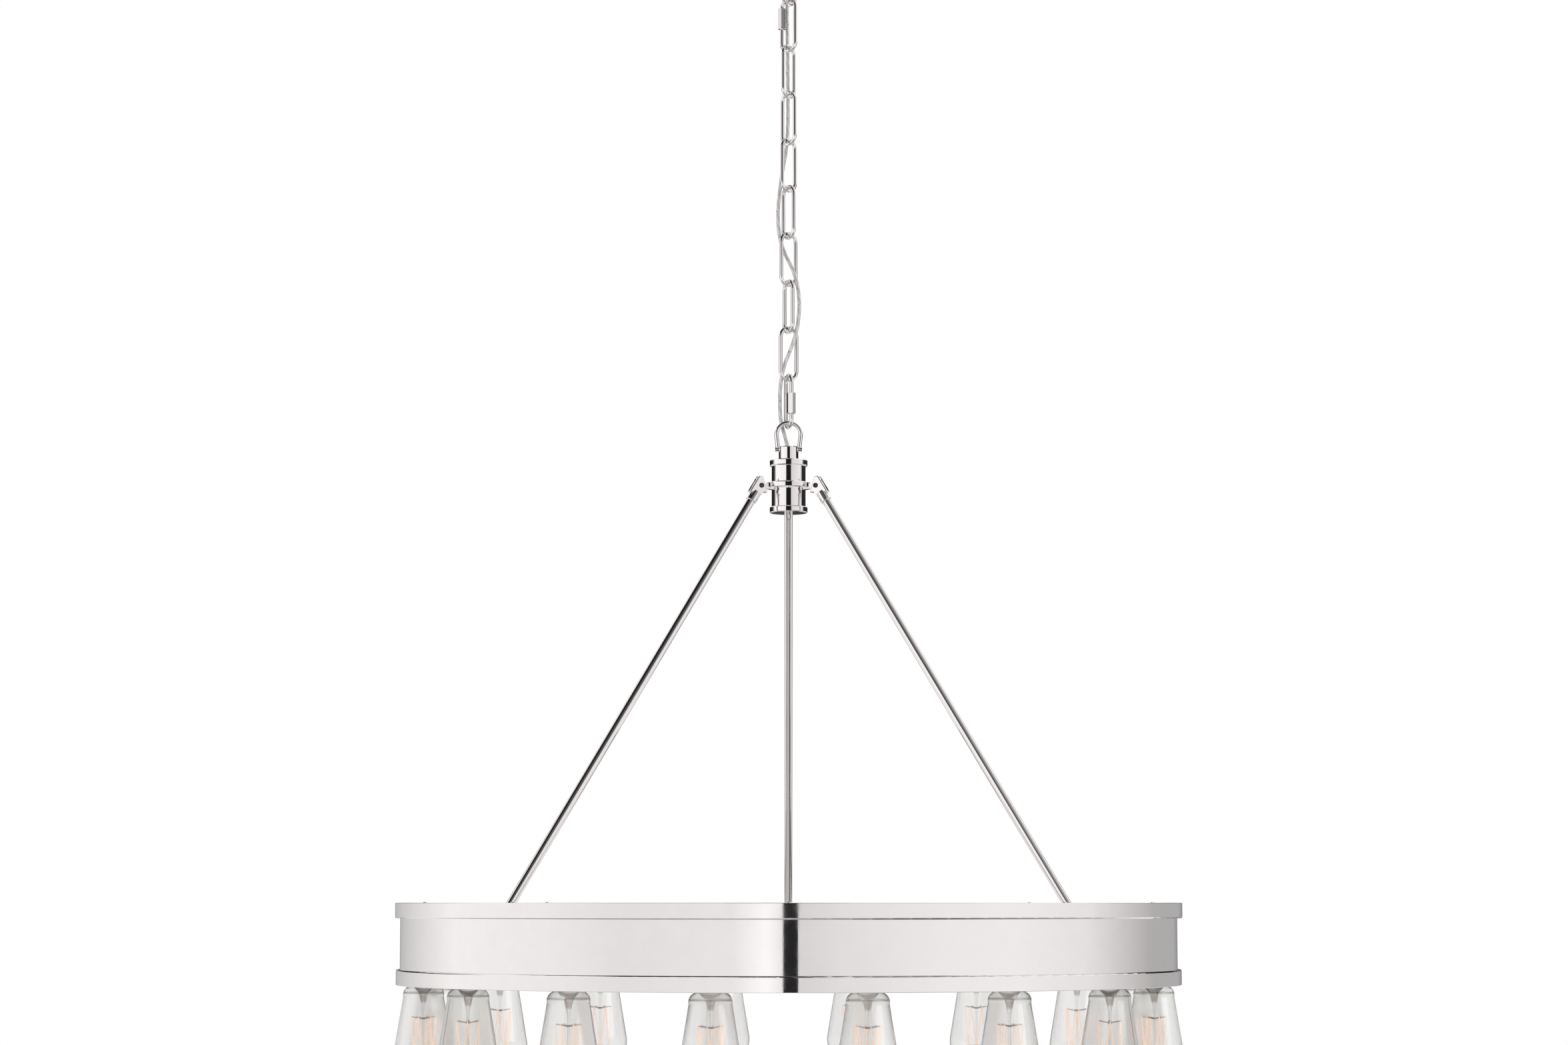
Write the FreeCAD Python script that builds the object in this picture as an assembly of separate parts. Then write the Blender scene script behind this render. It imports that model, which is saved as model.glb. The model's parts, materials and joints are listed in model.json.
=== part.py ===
"""Ring chandelier: a polished ring of lamps on three rods, hung by a chain from a ceiling canopy.

Millimetres, +Z up. The origin is the middle of the ceiling plane, so everything hangs below zero.
The front, where no rod stands, faces -Y. Angles are in degrees about Z, from +X.
"""

import FreeCAD
import Part
import math
import os

Vector = FreeCAD.Vector
ORIGIN = Vector(0, 0, 0)
X_AXIS = Vector(1, 0, 0)
Y_AXIS = Vector(0, 1, 0)
Z_AXIS = Vector(0, 0, 1)
QUARTER_TURN = 90.0
FRONT = -QUARTER_TURN

# Clearances
fit_gap = 0.1          # between pieces that are pressed, screwed or welded together
chain_gap = 0.3        # between links where they hang in each other
lead_gap = 0.6         # round the rod's lead where it goes through a wall
knuckle_gap = 5.5      # between a lower forked head and its lug's foot
hub_gap = 3.3          # between an upper forked head and the hub's plate
socket_gap = 3.7       # between a lampholder and the outer band
canopy_room = 7.2      # between the bracket's corners and the canopy's wall
wire_gap = 0.3         # between the supply wires and the posts and nuts beside them
twin_gap = 0.4         # between the two supply wires
connector_gap = 1.2    # between the hub's wire connectors

# Ceiling canopy and bracket
canopy_rim_height = 8.0
canopy_rim_proud = 3.0
canopy_depth = 28.0
canopy_wall = 1.2
canopy_nose_radius = 15.0
bracket_end = 2.55     # of bracket beyond each slot
bracket_width = 22.0
bracket_wall = 2.5
slot_spacing = 88.9
slot_width = 4.8
slot_length = 14.0
ground_screw_place = 24.0
ground_screw_radius = 1.7
ground_head_radius = 3.6
ground_head_height = 2.0

# Threaded tubes and their nuts
thread_radius = 4.95
thread_bore = 3.1
thread_depth = 8.0     # how far a tube goes into a loop's collar
nut_flats = 14.0
nut_height = 3.0

# Loops under the canopy and on the hub
collar_radius = 9.65
collar_length = 13.4
loop_wire = 4.2
loop_width = 28.0      # over the wire
loop_inside = 21.5     # from the collar's end to the inside of the crown
loop_foot_radius = 2.2
loop_foot_drop = 2.6   # of the feet's axis below the collar's end
loop_foot_inset = 1.6  # of each foot from the widest part of its leg
loop_mouth_radius = 5.0  # of the flared hole where the cord leaves the collar
edge_break = 0.8       # small chamfers on turned pieces

# Chain and quick links
link_count = 7
link_wire = 3.8
link_inside_length = 47.3
link_inside_width = 13.0
quick_wire = 4.0
quick_inside_length = 47.3
quick_inside_width = 12.0
first_turn = -35.0     # plane of the upper quick link, from the plane that faces the front
turn_step = 85.5       # from each link to the next
sleeve_radius = 4.3
sleeve_length = 21.0
sleeve_flats = 7.6
sleeve_margin = 0.3    # of straight leg left at the end of a sleeve's travel
opening_length = 8.0   # the gap in a quick link's leg that its sleeve bridges
opening_margin = 1.0   # of leg end inside the closed sleeve
opening_clear = 0.6    # of leg end past the open sleeve

# Hub
cup_radius = 16.6
upper_cup_height = 22.3
lower_cup_height = 24.1
cup_wall = 2.0
cup_end_wall = 4.0
flange_proud = 1.9
flange_height = 6.0
spider_proud = 5.9
spider_height = 5.6
pivot_drop = 1.6       # of the rods' pivots below the plate's middle
spider_boss_height = 3.0
hub_connector_radius = 4.0
hub_connector_length = 15.0

# Rods, their forked ends and pivots
rod_angles = (-30.0, -150.0, 90.0)
rod_radius = 4.15
rod_bore = 2.9
lower_pivot_height = 50.0  # above the ring's lower edge
fork_thickness = 7.4
fork_above = 9.3           # from the pivot to the head's top
fork_below = 6.6           # from the pivot to the head's base
fork_outer = 7.2           # from the rod's axis to the head's outer side, which follows the rod
fork_inner = 6.5           # from the pivot to the inner end of the head's base
fork_top = 1.7             # from the pivot to the inner end of the head's top
fork_round = 2.6           # of the corners beside the head's top
fork_edge = 0.9            # round of the cheeks' outlines
fork_slot_depth = 5.6
ferrule_wall = 1.05
ferrule_start = 8.0        # down the rod from its pivot
ferrule_end = 18.8
rod_seat = 5.8             # of rod inside its ferrule
tongue_width = 3.0
tongue_eye_radius = 5.2
tongue_gap = 0.15
pivot_pin_radius = 1.5
pivot_head_radius = 2.4
pivot_head_height = 1.2
pivot_key = 2.5            # across the flats of the head's socket
pivot_key_depth = 0.9

# Ring
ring_outer_radius = 379.0
ring_height = 78.0
ring_drop = 482.6          # of the ring's lower edge below the hub's pivots
upper_bead_height = 14.6
upper_bead_proud = 5.0
lower_bead_height = 14.6
lower_bead_proud = 3.8
bead_round = 1.4
rim_round = 0.4            # of the beads' edges at the ring's top and bottom
band_wall = 1.6
ring_width = 48.6          # from the beads to the inside of the inner band
inner_band_wall = 1.6
cover_wall = 1.6
cover_recess = 1.0
socket_plate_wall = 2.0
socket_plate_height = 50.0  # of its lower face above the ring's lower edge
post_count = 8
post_radius = 3.2
post_screw_radius = 1.5
post_head_radius = 2.9
post_head_height = 1.6
post_thread_depth = 6.0
lug_foot_margin = 1.7      # of foot beside its screws' heads
lug_foot_height = 22.0
lug_foot_wall = 2.0
lug_bar_height = 8.0
lug_screw_radius = 1.9
lug_head_radius = 3.3
lug_head_height = 1.8

# Lampholders
lamp_count = 16
socket_wall = 1.7
socket_mouth = 2.0          # height of the lampholder's rim above the ring's lower edge
socket_top_wall = 10.0
socket_floor = 3.0          # of insulation between the tube and the lamp
shell_wall = 0.5
shell_length = 28.0
socket_nipple_bore = 2.4
socket_nipple_rise = 6.0    # above the socket plate
contact_radius = 4.5
contact_wall = 0.7
contact_post_radius = 1.4

# Lamps, measured from the ring's lower edge
bulb_radius = 28.0
bulb_wide_drop = 65.0
bulb_side_round = 20.0
bulb_nose_drop = 5.0        # of the tip below the side's round
bulb_shoulder_radius = 19.3
bulb_shoulder_drop = 10.5
bulb_shoulder_swell = 1.9
bulb_neck_rise = 9.0
bulb_glass_wall = 0.8
cap_radius = 13.4
cap_wall = 0.35
cap_rise = 3.0
cap_length = 21.0
cap_thread_pitch = 3.6
cap_thread_count = 4
cap_thread_depth = 0.45
insulator_height = 4.0
insulator_seat = 2.0        # of insulator inside the cap
tip_radius = 4.2
tip_height = 1.6
stem_flare_rise = 3.0
stem_flare_drop = 7.0
stem_press_radius = 4.4
stem_press_drop = 19.0
stem_neck_radius = 1.9
stem_rod_radius = 1.3
stem_tip_room = 16.0        # between the stem's end and the tip
upper_support_drop = 31.0
stem_tail = 4.0             # of stem below the lower wires
support_count = 6
support_wire_radius = 0.4
support_ring_wall = 0.8
support_ring_height = 1.6
upper_support_reach = 11.0
lower_support_reach = 9.5
upper_support_rise = 1.6
filament_radius = 0.4
filament_gap = 0.3

# Wiring
ring_wire_radius = 1.3
lamp_lead_radius = 0.9
lead_rise = 9.0
rod_lead_radius = 1.4
rod_lead_entry = 30.0       # down the back rod from its upper pivot
rod_lead_exit = 30.0        # up the back rod from its lower pivot
rod_lead_runs = 10
rod_lead_sway = 0.5         # off the rod's axis, to either side in turn
band_hole_drop = 14.1       # of the lead's hole below the ring's upper edge
cord_radius = 1.8

# Worked out from the sizes above
bracket_length = slot_spacing + slot_length + 2 * bracket_end
canopy_inside = math.hypot(bracket_length / 2, bracket_width / 2) + canopy_room
canopy_shoulder = canopy_inside + canopy_wall
canopy_radius = canopy_shoulder + canopy_rim_proud
loop_reach = (loop_width - loop_wire) / 2
canopy_crown = -canopy_depth - collar_length - loop_inside
link_tops = [canopy_crown + chain_gap]
for inside_length in [quick_inside_length] + link_count * [link_inside_length]:
    link_tops.append(link_tops[-1] - inside_length + chain_gap)
link_turns = [first_turn + i * turn_step for i in range(link_count + 2)]
sleeve_travel = opening_length + opening_margin + opening_clear
flange_radius = cup_radius + flange_proud
spider_radius = cup_radius + spider_proud
hub_connector_spacing = 2 * hub_connector_radius + connector_gap
hub_crown = link_tops[-1] - quick_inside_length + chain_gap
hub_top = hub_crown - loop_inside - collar_length
spider_top = hub_top - upper_cup_height
pivot_level = spider_top - spider_height / 2 - pivot_drop
spider_bottom = spider_top - spider_height
hub_bottom = spider_bottom - lower_cup_height
ring_bottom = pivot_level - ring_drop
ring_top = ring_bottom + ring_height
band_radius = ring_outer_radius - upper_bead_proud
inner_band_radius = ring_outer_radius - ring_width
channel_inner = inner_band_radius + inner_band_wall + fit_gap
channel_outer = band_radius - band_wall - fit_gap
post_circle = (channel_inner + channel_outer) / 2
lower_pivot_level = ring_bottom + lower_pivot_height
lug_screw_spacing = fork_thickness + 2 * pivot_head_height + 2 * lug_head_radius
lug_foot_width = lug_screw_spacing + 2 * lug_head_radius + 2 * lug_foot_margin
lug_seat = math.sqrt(inner_band_radius ** 2 - (lug_foot_width / 2) ** 2) - fit_gap
ferrule_radius = rod_radius + ferrule_wall
upper_pivot_radius = spider_radius + hub_gap + fork_inner
lower_pivot_radius = lug_seat - lug_foot_wall - knuckle_gap - fork_inner
rod_run = lower_pivot_radius - upper_pivot_radius
rod_drop = pivot_level - lower_pivot_level
rod_reach = math.hypot(rod_run, rod_drop)
rod_lean = math.degrees(math.atan2(rod_run, rod_drop))
plate_top = ring_bottom + socket_plate_height + socket_plate_wall
cover_bottom = ring_top - cover_recess - cover_wall
cap_bore = cap_radius - cap_thread_depth - cap_wall
bulb_neck_radius = cap_bore - fit_gap
stem_flare_radius = bulb_neck_radius - bulb_glass_wall - fit_gap
shell_bore = cap_radius + fit_gap
shell_radius = shell_bore + shell_wall
socket_cavity_radius = shell_radius + fit_gap
socket_radius = socket_cavity_radius + socket_wall
lamp_circle = channel_outer - socket_gap - socket_radius
bulb_tip_drop = bulb_wide_drop + bulb_side_round + bulb_nose_drop
stem_end_drop = bulb_tip_drop - stem_tip_room
lower_support_drop = stem_end_drop - stem_tail
nut_corner = nut_flats / math.sqrt(3)
beside_wires = min(post_circle - post_radius, lamp_circle - nut_corner)
ring_wire_spacing = 2 * ring_wire_radius + twin_gap
ring_wire_circle = beside_wires - wire_gap - ring_wire_radius - ring_wire_spacing
lead_level = hub_bottom + flange_height + edge_break + lead_gap + rod_lead_radius
lamp_angles = [FRONT + (i + 0.5) * 360.0 / lamp_count for i in range(lamp_count)]
post_angles = [FRONT + i * 360.0 / post_count for i in range(post_count)]


def turned(profile):
    """A solid of revolution about Z from a closed chain of edges in the XZ plane."""
    wire = Part.Wire(profile)
    return Part.Face(wire).revolve(ORIGIN, Z_AXIS, 360)


def outline(points):
    """Straight edges round a closed outline of (radius, height) points."""
    corners = [Vector(r, 0, z) for r, z in points]
    return [Part.LineSegment(a, b).toShape() for a, b in zip(corners, corners[1:] + corners[:1])]


def lathe(points):
    """A turned solid with straight sides."""
    return turned(outline(points))


def tube(outer, inner, low, high):
    return lathe([(inner, low), (outer, low), (outer, high), (inner, high)])


def rod(radius, start, end):
    """A round bar between two points."""
    along = end - start
    return Part.makeCylinder(radius, along.Length, start, along)


def fuse(*shapes):
    return shapes[0].multiFuse(list(shapes[1:])).removeSplitter()


def placed(shape, angle=0.0, radius=0.0, height=0.0):
    """A copy moved out along X and up, and then turned about Z."""
    copy = shape.translated(Vector(radius, 0, height))
    return copy.rotated(ORIGIN, Z_AXIS, angle)


def polar(shape, angles, radius=0.0):
    return [placed(shape, angle, radius) for angle in angles]


def hex_prism(flats, low, high, hole):
    """A hexagonal nut with a round hole."""
    corner = flats / math.sqrt(3)
    angles = [i * math.pi / 3 for i in range(7)]
    points = [Vector(corner * math.cos(a), corner * math.sin(a), low) for a in angles]
    face = Part.Face(Part.makePolygon(points))
    nut = face.extrude(Vector(0, 0, high - low))
    if hole:
        nut = nut.cut(Part.makeCylinder(hole, high - low, Vector(0, 0, low)))
    return nut


def half_ring(radius, wire, height, upward):
    """Half of a torus in the XZ plane, arching up or down, with its centre at the given height."""
    arch = Part.makeTorus(radius, wire / 2, ORIGIN, Z_AXIS, 0, 360, 180)
    arch = arch.rotated(ORIGIN, X_AXIS, QUARTER_TURN if upward else -QUARTER_TURN)
    return arch.translated(Vector(0, 0, height))


def pipe(points, radius, bend_share=0.45):
    """A round tube along straight runs joined by tangent arcs, the arcs' radii and the path's length."""
    edges = []
    radii = []
    here = points[0]
    for before, corner, after in zip(points, points[1:], points[2:]):
        into = corner - before
        out = after - corner
        shorter = min(into.Length, out.Length)
        into.normalize()
        out.normalize()
        half_turn = math.acos(max(-1.0, min(1.0, into.dot(out)))) / 2
        setback = bend_share * shorter
        radii.append(setback / math.tan(half_turn))
        start = corner - into * setback
        end = corner + out * setback
        middle = out - into
        middle.normalize()
        rise = radii[-1] / math.cos(half_turn) - radii[-1]
        edges.append(Part.LineSegment(here, start).toShape())
        edges.append(Part.Arc(start, corner + middle * rise, end).toShape())
        here = end
    edges.append(Part.LineSegment(here, points[-1]).toShape())
    section = Part.Wire(Part.Circle(points[0], points[1] - points[0], radius).toShape())
    path = Part.Wire(edges)
    return path.makePipeShell([section], True, False), radii, path.Length


def tell(name, solid, radius, radii, length):
    """Prints a tube's bends, and its volume beside its section times the length of its path."""
    expected = math.pi * radius ** 2 * length
    print(name, "length", round(length, 1), "smallest bend radius", round(min(radii), 1))
    print(name, "volume", round(solid.Volume, 1), "section times length", round(expected, 1))
    print(name, "bend radii", [round(r) for r in radii])


def canopy():
    """A spun dome with a thick rim that stands on the ceiling and a flat nose for the loop."""
    shoulder = canopy_shoulder
    run = shoulder - canopy_nose_radius
    rise = canopy_depth - canopy_rim_height
    dome = (run ** 2 + rise ** 2) / (2 * rise)
    centre = dome - canopy_depth
    hole = thread_radius + fit_gap
    inside = canopy_inside
    inner_dome = dome - canopy_wall

    def on_dome(radius, size):
        return Vector(radius, 0, centre - math.sqrt(size ** 2 - (radius - canopy_nose_radius) ** 2))

    middle = (shoulder + canopy_nose_radius) / 2
    seat = Vector(canopy_nose_radius, 0, -canopy_depth)
    inner_seat = seat + Vector(0, 0, canopy_wall)
    rim = [Vector(inside, 0, 0), Vector(canopy_radius, 0, 0), Vector(canopy_radius, 0, -canopy_rim_height)]
    rim.append(Vector(shoulder, 0, -canopy_rim_height))
    edges = [Part.LineSegment(a, b).toShape() for a, b in zip(rim, rim[1:])]
    edges.append(Part.Arc(rim[-1], on_dome(middle, dome), seat).toShape())
    nose = [seat, Vector(hole, 0, -canopy_depth), Vector(hole, 0, canopy_wall - canopy_depth), inner_seat]
    edges += [Part.LineSegment(a, b).toShape() for a, b in zip(nose, nose[1:])]
    top = on_dome(inside, inner_dome)
    edges.append(Part.Arc(inner_seat, on_dome(middle, inner_dome), top).toShape())
    edges.append(Part.LineSegment(top, rim[0]).toShape())
    return turned(edges)


def ceiling_bracket():
    """The flat crossbar with two slots for the outlet box's screws."""
    bar = Part.makeBox(bracket_length, bracket_width, bracket_wall)
    bar = bar.translated(Vector(-bracket_length / 2, -bracket_width / 2, -bracket_wall))
    low = Vector(0, 0, -bracket_wall)
    run = slot_length - slot_width
    for side in (-1, 1):
        middle = side * slot_spacing / 2
        slot = Part.makeBox(run, slot_width, bracket_wall, Vector(middle - run / 2, -slot_width / 2, low.z))
        bar = bar.cut(slot)
        for end in (-1, 1):
            at = Vector(middle + end * run / 2, 0, low.z)
            bar = bar.cut(Part.makeCylinder(slot_width / 2, bracket_wall, at))
    bar = bar.cut(Part.makeCylinder(thread_radius + fit_gap, bracket_wall, low))
    ground = Vector(ground_screw_place, 0, low.z)
    return bar.cut(Part.makeCylinder(ground_screw_radius + fit_gap, bracket_wall, ground))


def ground_screw():
    at = -bracket_wall
    screw = lathe([(0, at - ground_head_height), (ground_head_radius, at - ground_head_height),
                   (ground_head_radius, at), (ground_screw_radius, at), (ground_screw_radius, 0), (0, 0)])
    slot = Part.makeBox(2 * ground_head_radius, ground_screw_radius / 2, ground_head_height / 2)
    slot = slot.translated(Vector(-ground_head_radius, -ground_screw_radius / 4, at - ground_head_height))
    return screw.cut(slot).translated(Vector(ground_screw_place, 0, 0))


def loop():
    """A collar on Z from zero up, with a wire loop in the XZ plane on its end."""
    chamfer = edge_break
    collar = lathe([(0, 0), (collar_radius, 0), (collar_radius, collar_length - chamfer),
                    (collar_radius - chamfer, collar_length), (0, collar_length)])
    crown = collar_length + loop_inside + loop_wire / 2 - loop_reach
    foot = collar_length - loop_foot_drop
    pieces = [half_ring(loop_reach, loop_wire, crown, True)]
    foot_reach = loop_reach - loop_foot_inset
    for side in (-1, 1):
        widest = Vector(side * loop_reach, 0, crown)
        pieces.append(rod(loop_wire / 2, Vector(side * foot_reach, 0, foot), widest))
        pieces.append(Part.makeSphere(loop_wire / 2, widest))
    half = foot_reach + loop_wire / 2 + edge_break
    feet = rod(loop_foot_radius, Vector(-half, 0, foot), Vector(half, 0, foot))
    body = fuse(collar, feet, *pieces)
    body = body.cut(Part.makeCylinder(thread_radius + fit_gap, thread_depth))
    body = body.cut(Part.makeCylinder(thread_bore, collar_length))
    flare = collar_length - thread_depth
    return body.cut(Part.makeCone(thread_bore, loop_mouth_radius, flare, Vector(0, 0, thread_depth)))


def canopy_loop():
    hanging = loop().rotated(ORIGIN, X_AXIS, 180)
    return placed(hanging, first_turn + QUARTER_TURN, 0.0, -canopy_depth)


def oval(inside_length, inside_width, wire, top):
    """A closed wire link in the XZ plane, with the inside of its upper crown at the given height."""
    reach = (inside_width + wire) / 2
    high = top - inside_width / 2
    low = top - inside_length + inside_width / 2
    legs = [rod(wire / 2, Vector(x, 0, low), Vector(x, 0, high)) for x in (-reach, reach)]
    return fuse(half_ring(reach, wire, high, True), half_ring(reach, wire, low, False), *legs)


def chain_link(number):
    link = oval(link_inside_length, link_inside_width, link_wire, link_tops[number])
    return placed(link, link_turns[number])


def leg_top(top):
    """The upper end of a quick link's straight legs."""
    return top - quick_inside_width / 2


def quick_link(number, opening_top, side):
    """An oval link whose one leg is open, where its sleeve bridges it."""
    link = oval(quick_inside_length, quick_inside_width, quick_wire, link_tops[number])
    reach = side * (quick_inside_width + quick_wire) / 2
    gap = Part.makeCylinder(quick_wire, opening_length, Vector(reach, 0, opening_top - opening_length))
    return placed(link.cut(gap), link_turns[number])


def sleeve(number, top, side):
    """The six-sided sleeve nut on a quick link's leg."""
    nut = hex_prism(sleeve_flats, -sleeve_length, 0, 0)
    rounded = lathe([(0, -sleeve_length), (sleeve_radius - edge_break, -sleeve_length),
                     (sleeve_radius, edge_break - sleeve_length), (sleeve_radius, -edge_break),
                     (sleeve_radius - edge_break, 0), (0, 0)])
    bore = Part.makeCylinder(quick_wire / 2 + chain_gap, sleeve_length, Vector(0, 0, -sleeve_length))
    nut = nut.common(rounded).cut(bore)
    reach = side * (quick_inside_width + quick_wire) / 2
    return placed(nut, link_turns[number], reach, top)


def upper_quick_pieces():
    """The sleeve stands at the top of its leg and slides down to open the link."""
    top = leg_top(link_tops[0]) - sleeve_margin
    return quick_link(0, top - opening_margin, -1), sleeve(0, top, -1)


def lower_quick_pieces():
    """The sleeve stands low on its leg and slides up to open the link."""
    number = link_count + 1
    top = leg_top(link_tops[number]) - sleeve_margin - sleeve_travel
    opening = top - sleeve_length + opening_margin + opening_length
    return quick_link(number, opening, 1), sleeve(number, top, 1)


def cup(open_end, far_end):
    """A spool half: a cup with its rim at open_end and a flange at its closed far end."""
    way = 1.0 if far_end > open_end else -1.0
    flange = far_end - way * flange_height
    inside = far_end - way * cup_end_wall
    hollow = cup_radius - cup_wall
    ease = edge_break
    points = [(hollow, open_end), (cup_radius, open_end), (cup_radius, flange),
              (flange_radius - ease, flange), (flange_radius, flange + way * ease),
              (flange_radius, far_end - way * ease),
              (flange_radius - ease, far_end), (0, far_end), (0, inside), (hollow, inside)]
    return lathe(points)


def hub_upper_cup():
    hole = Part.makeCylinder(thread_radius + fit_gap, upper_cup_height, Vector(0, 0, spider_top))
    return cup(spider_top, hub_top).cut(hole)


def hub_lower_cup():
    """The lower spool half has a hole at the back for the rod's lead."""
    start = Vector(0, 0, lead_level)
    exit_hole = rod(rod_lead_radius + lead_gap, start, start + Vector(0, 2 * cup_radius, 0))
    return cup(spider_bottom, hub_bottom).cut(exit_hole)


def tongue(height):
    """An arm along X with a round eye, for a fork's pin on Y through the origin."""
    eye = rod(tongue_eye_radius, Vector(0, -tongue_width / 2, 0), Vector(0, tongue_width / 2, 0))
    reach = upper_pivot_radius - cup_radius - fit_gap
    bar = Part.makeBox(reach, tongue_width, height)
    bar = bar.translated(Vector(-reach, -tongue_width / 2, -height / 2))
    return fuse(eye, bar)


def pin_hole():
    half = fork_thickness
    return rod(pivot_pin_radius + fit_gap, Vector(0, -half, 0), Vector(0, half, 0))


def hub_spider():
    """The plate between the cups, with a straight edge and three tongues for the rods."""
    low, high = spider_bottom, spider_top
    plate = lathe([(0, low), (spider_radius - edge_break, low), (spider_radius, low + edge_break),
                   (spider_radius, high - edge_break), (spider_radius - edge_break, high), (0, high)])
    boss_radius = cup_radius - cup_wall - fit_gap
    boss_low = spider_bottom - spider_boss_height
    boss = Part.makeCylinder(boss_radius, spider_height + 2 * spider_boss_height, Vector(0, 0, boss_low))
    arms = [placed(tongue(spider_height), angle, upper_pivot_radius, pivot_level) for angle in rod_angles]
    body = fuse(plate, boss, *arms)
    body = body.cut(Part.makeCylinder(thread_radius + fit_gap, hub_top - boss_low, Vector(0, 0, boss_low)))
    for angle in rod_angles:
        body = body.cut(placed(pin_hole(), angle, upper_pivot_radius, pivot_level))
    return body


def hub_connectors():
    """Two twist connectors that lie in the lower cup, where the cord meets the rod's lead."""
    floor = hub_bottom + cup_end_wall + hub_connector_radius + fit_gap
    half = hub_connector_length / 2
    body = lathe([(0, -half), (hub_connector_radius, -half), (hub_connector_radius, half - edge_break),
                  (hub_connector_radius - edge_break, half), (0, half)])
    body = body.rotated(ORIGIN, X_AXIS, QUARTER_TURN)
    places = (-hub_connector_spacing / 2, hub_connector_spacing / 2)
    return [body.translated(Vector(x, 0, floor)) for x in places]


def fork_edge_reach():
    """How far the head's outer side stands out from the pivot at its base."""
    lean = math.radians(rod_lean)
    return fork_outer / math.cos(lean) + fork_below * math.tan(lean)


def fork_head():
    """The head, upright: its outer side follows the rod, and its inner side slopes in to the top."""
    base = fork_edge_reach()
    top = base - (fork_above + fork_below) * math.tan(math.radians(rod_lean))
    thick = fork_thickness / 2
    corners = [Vector(-fork_top, -thick, fork_above), Vector(top, -thick, fork_above),
               Vector(base, -thick, -fork_below), Vector(-fork_inner, -thick, -fork_below)]
    face = Part.Face(Part.makePolygon(corners + corners[:1]))
    head = face.extrude(Vector(0, fork_thickness, 0))
    upper = [e for e in head.Edges if e.BoundBox.ZMin > fork_above - fit_gap and e.BoundBox.YLength > thick]
    head = head.makeFillet(fork_round, upper)
    outlines = [e for e in head.Edges if e.BoundBox.YLength < fit_gap]
    return head.makeFillet(fork_edge, outlines)


def fork():
    """A forked head with its pivot on Y through the origin, on a ferrule down -Z along the rod."""
    thick = fork_thickness / 2
    neck = Part.makeBox(2 * ferrule_radius, fork_thickness, ferrule_start)
    neck = neck.translated(Vector(-ferrule_radius, -thick, -ferrule_start))
    ferrule = lathe([(0, -ferrule_end), (ferrule_radius - edge_break / 2, -ferrule_end),
                     (ferrule_radius, edge_break / 2 - ferrule_end), (ferrule_radius, -ferrule_start),
                     (0, -ferrule_start)])
    length = 2 * fork_edge_reach()
    slot = Part.makeBox(length, tongue_width + 2 * tongue_gap, fork_above + fork_slot_depth)
    slot = slot.translated(Vector(-length / 2, -tongue_width / 2 - tongue_gap, -fork_slot_depth))
    head = fork_head().rotated(ORIGIN, Y_AXIS, rod_lean)
    body = fuse(head, neck, ferrule).cut(slot.rotated(ORIGIN, Y_AXIS, rod_lean))
    seat = Part.makeCylinder(rod_radius + fit_gap, rod_seat, Vector(0, 0, -ferrule_end))
    return body.cut(seat).cut(pin_hole())


def along_rod(shape, angle):
    """Moves a shape from its own frame, with the upper pivot at the origin and the rod down -Z."""
    leaning = shape.rotated(ORIGIN, Y_AXIS, -rod_lean)
    return placed(leaning, angle, upper_pivot_radius, pivot_level)


def lower_end(shape):
    """Turns an upper end's shape round, onto the rod's lower pivot."""
    return shape.rotated(ORIGIN, Y_AXIS, 180).translated(Vector(0, 0, -rod_reach))


def rod_tube(angle):
    top = -(ferrule_end - rod_seat) - fit_gap
    body = tube(rod_radius, rod_bore, -rod_reach - top, top)
    return along_rod(body, angle)


def pivot_screw():
    """A shoulder screw on Y with a socket in its head, and a plain head on its other end."""
    half = fork_thickness / 2
    end = half + pivot_head_height
    ease = edge_break / 2
    shank = pivot_pin_radius
    screw = lathe([(0, -end), (pivot_head_radius - ease, -end), (pivot_head_radius, ease - end),
                   (pivot_head_radius, -half), (shank, -half), (shank, half), (pivot_head_radius, half),
                   (pivot_head_radius, end - ease), (pivot_head_radius - ease, end), (0, end)])
    screw = screw.cut(hex_prism(pivot_key, end - pivot_key_depth, end, 0))
    return screw.rotated(ORIGIN, X_AXIS, QUARTER_TURN)


def rod_lug():
    """A tongue on a foot plate that is screwed to the inner band's face."""
    seat = lug_seat
    eye = rod(tongue_eye_radius, Vector(lower_pivot_radius, -tongue_width / 2, 0),
              Vector(lower_pivot_radius, tongue_width / 2, 0))
    bar = Part.makeBox(seat - lower_pivot_radius, tongue_width, lug_bar_height)
    bar = bar.translated(Vector(lower_pivot_radius, -tongue_width / 2, -lug_bar_height / 2))
    foot = Part.makeBox(lug_foot_wall, lug_foot_width, lug_foot_height)
    foot = foot.translated(Vector(seat - lug_foot_wall, -lug_foot_width / 2, -lug_foot_height / 2))
    body = fuse(eye, bar, foot).cut(pin_hole().translated(Vector(lower_pivot_radius, 0, 0)))
    for y in (-lug_screw_spacing / 2, lug_screw_spacing / 2):
        hole = rod(lug_screw_radius + fit_gap, Vector(seat - lug_foot_wall, y, 0), Vector(seat, y, 0))
        body = body.cut(hole)
    return body.translated(Vector(0, 0, lower_pivot_level))


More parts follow.
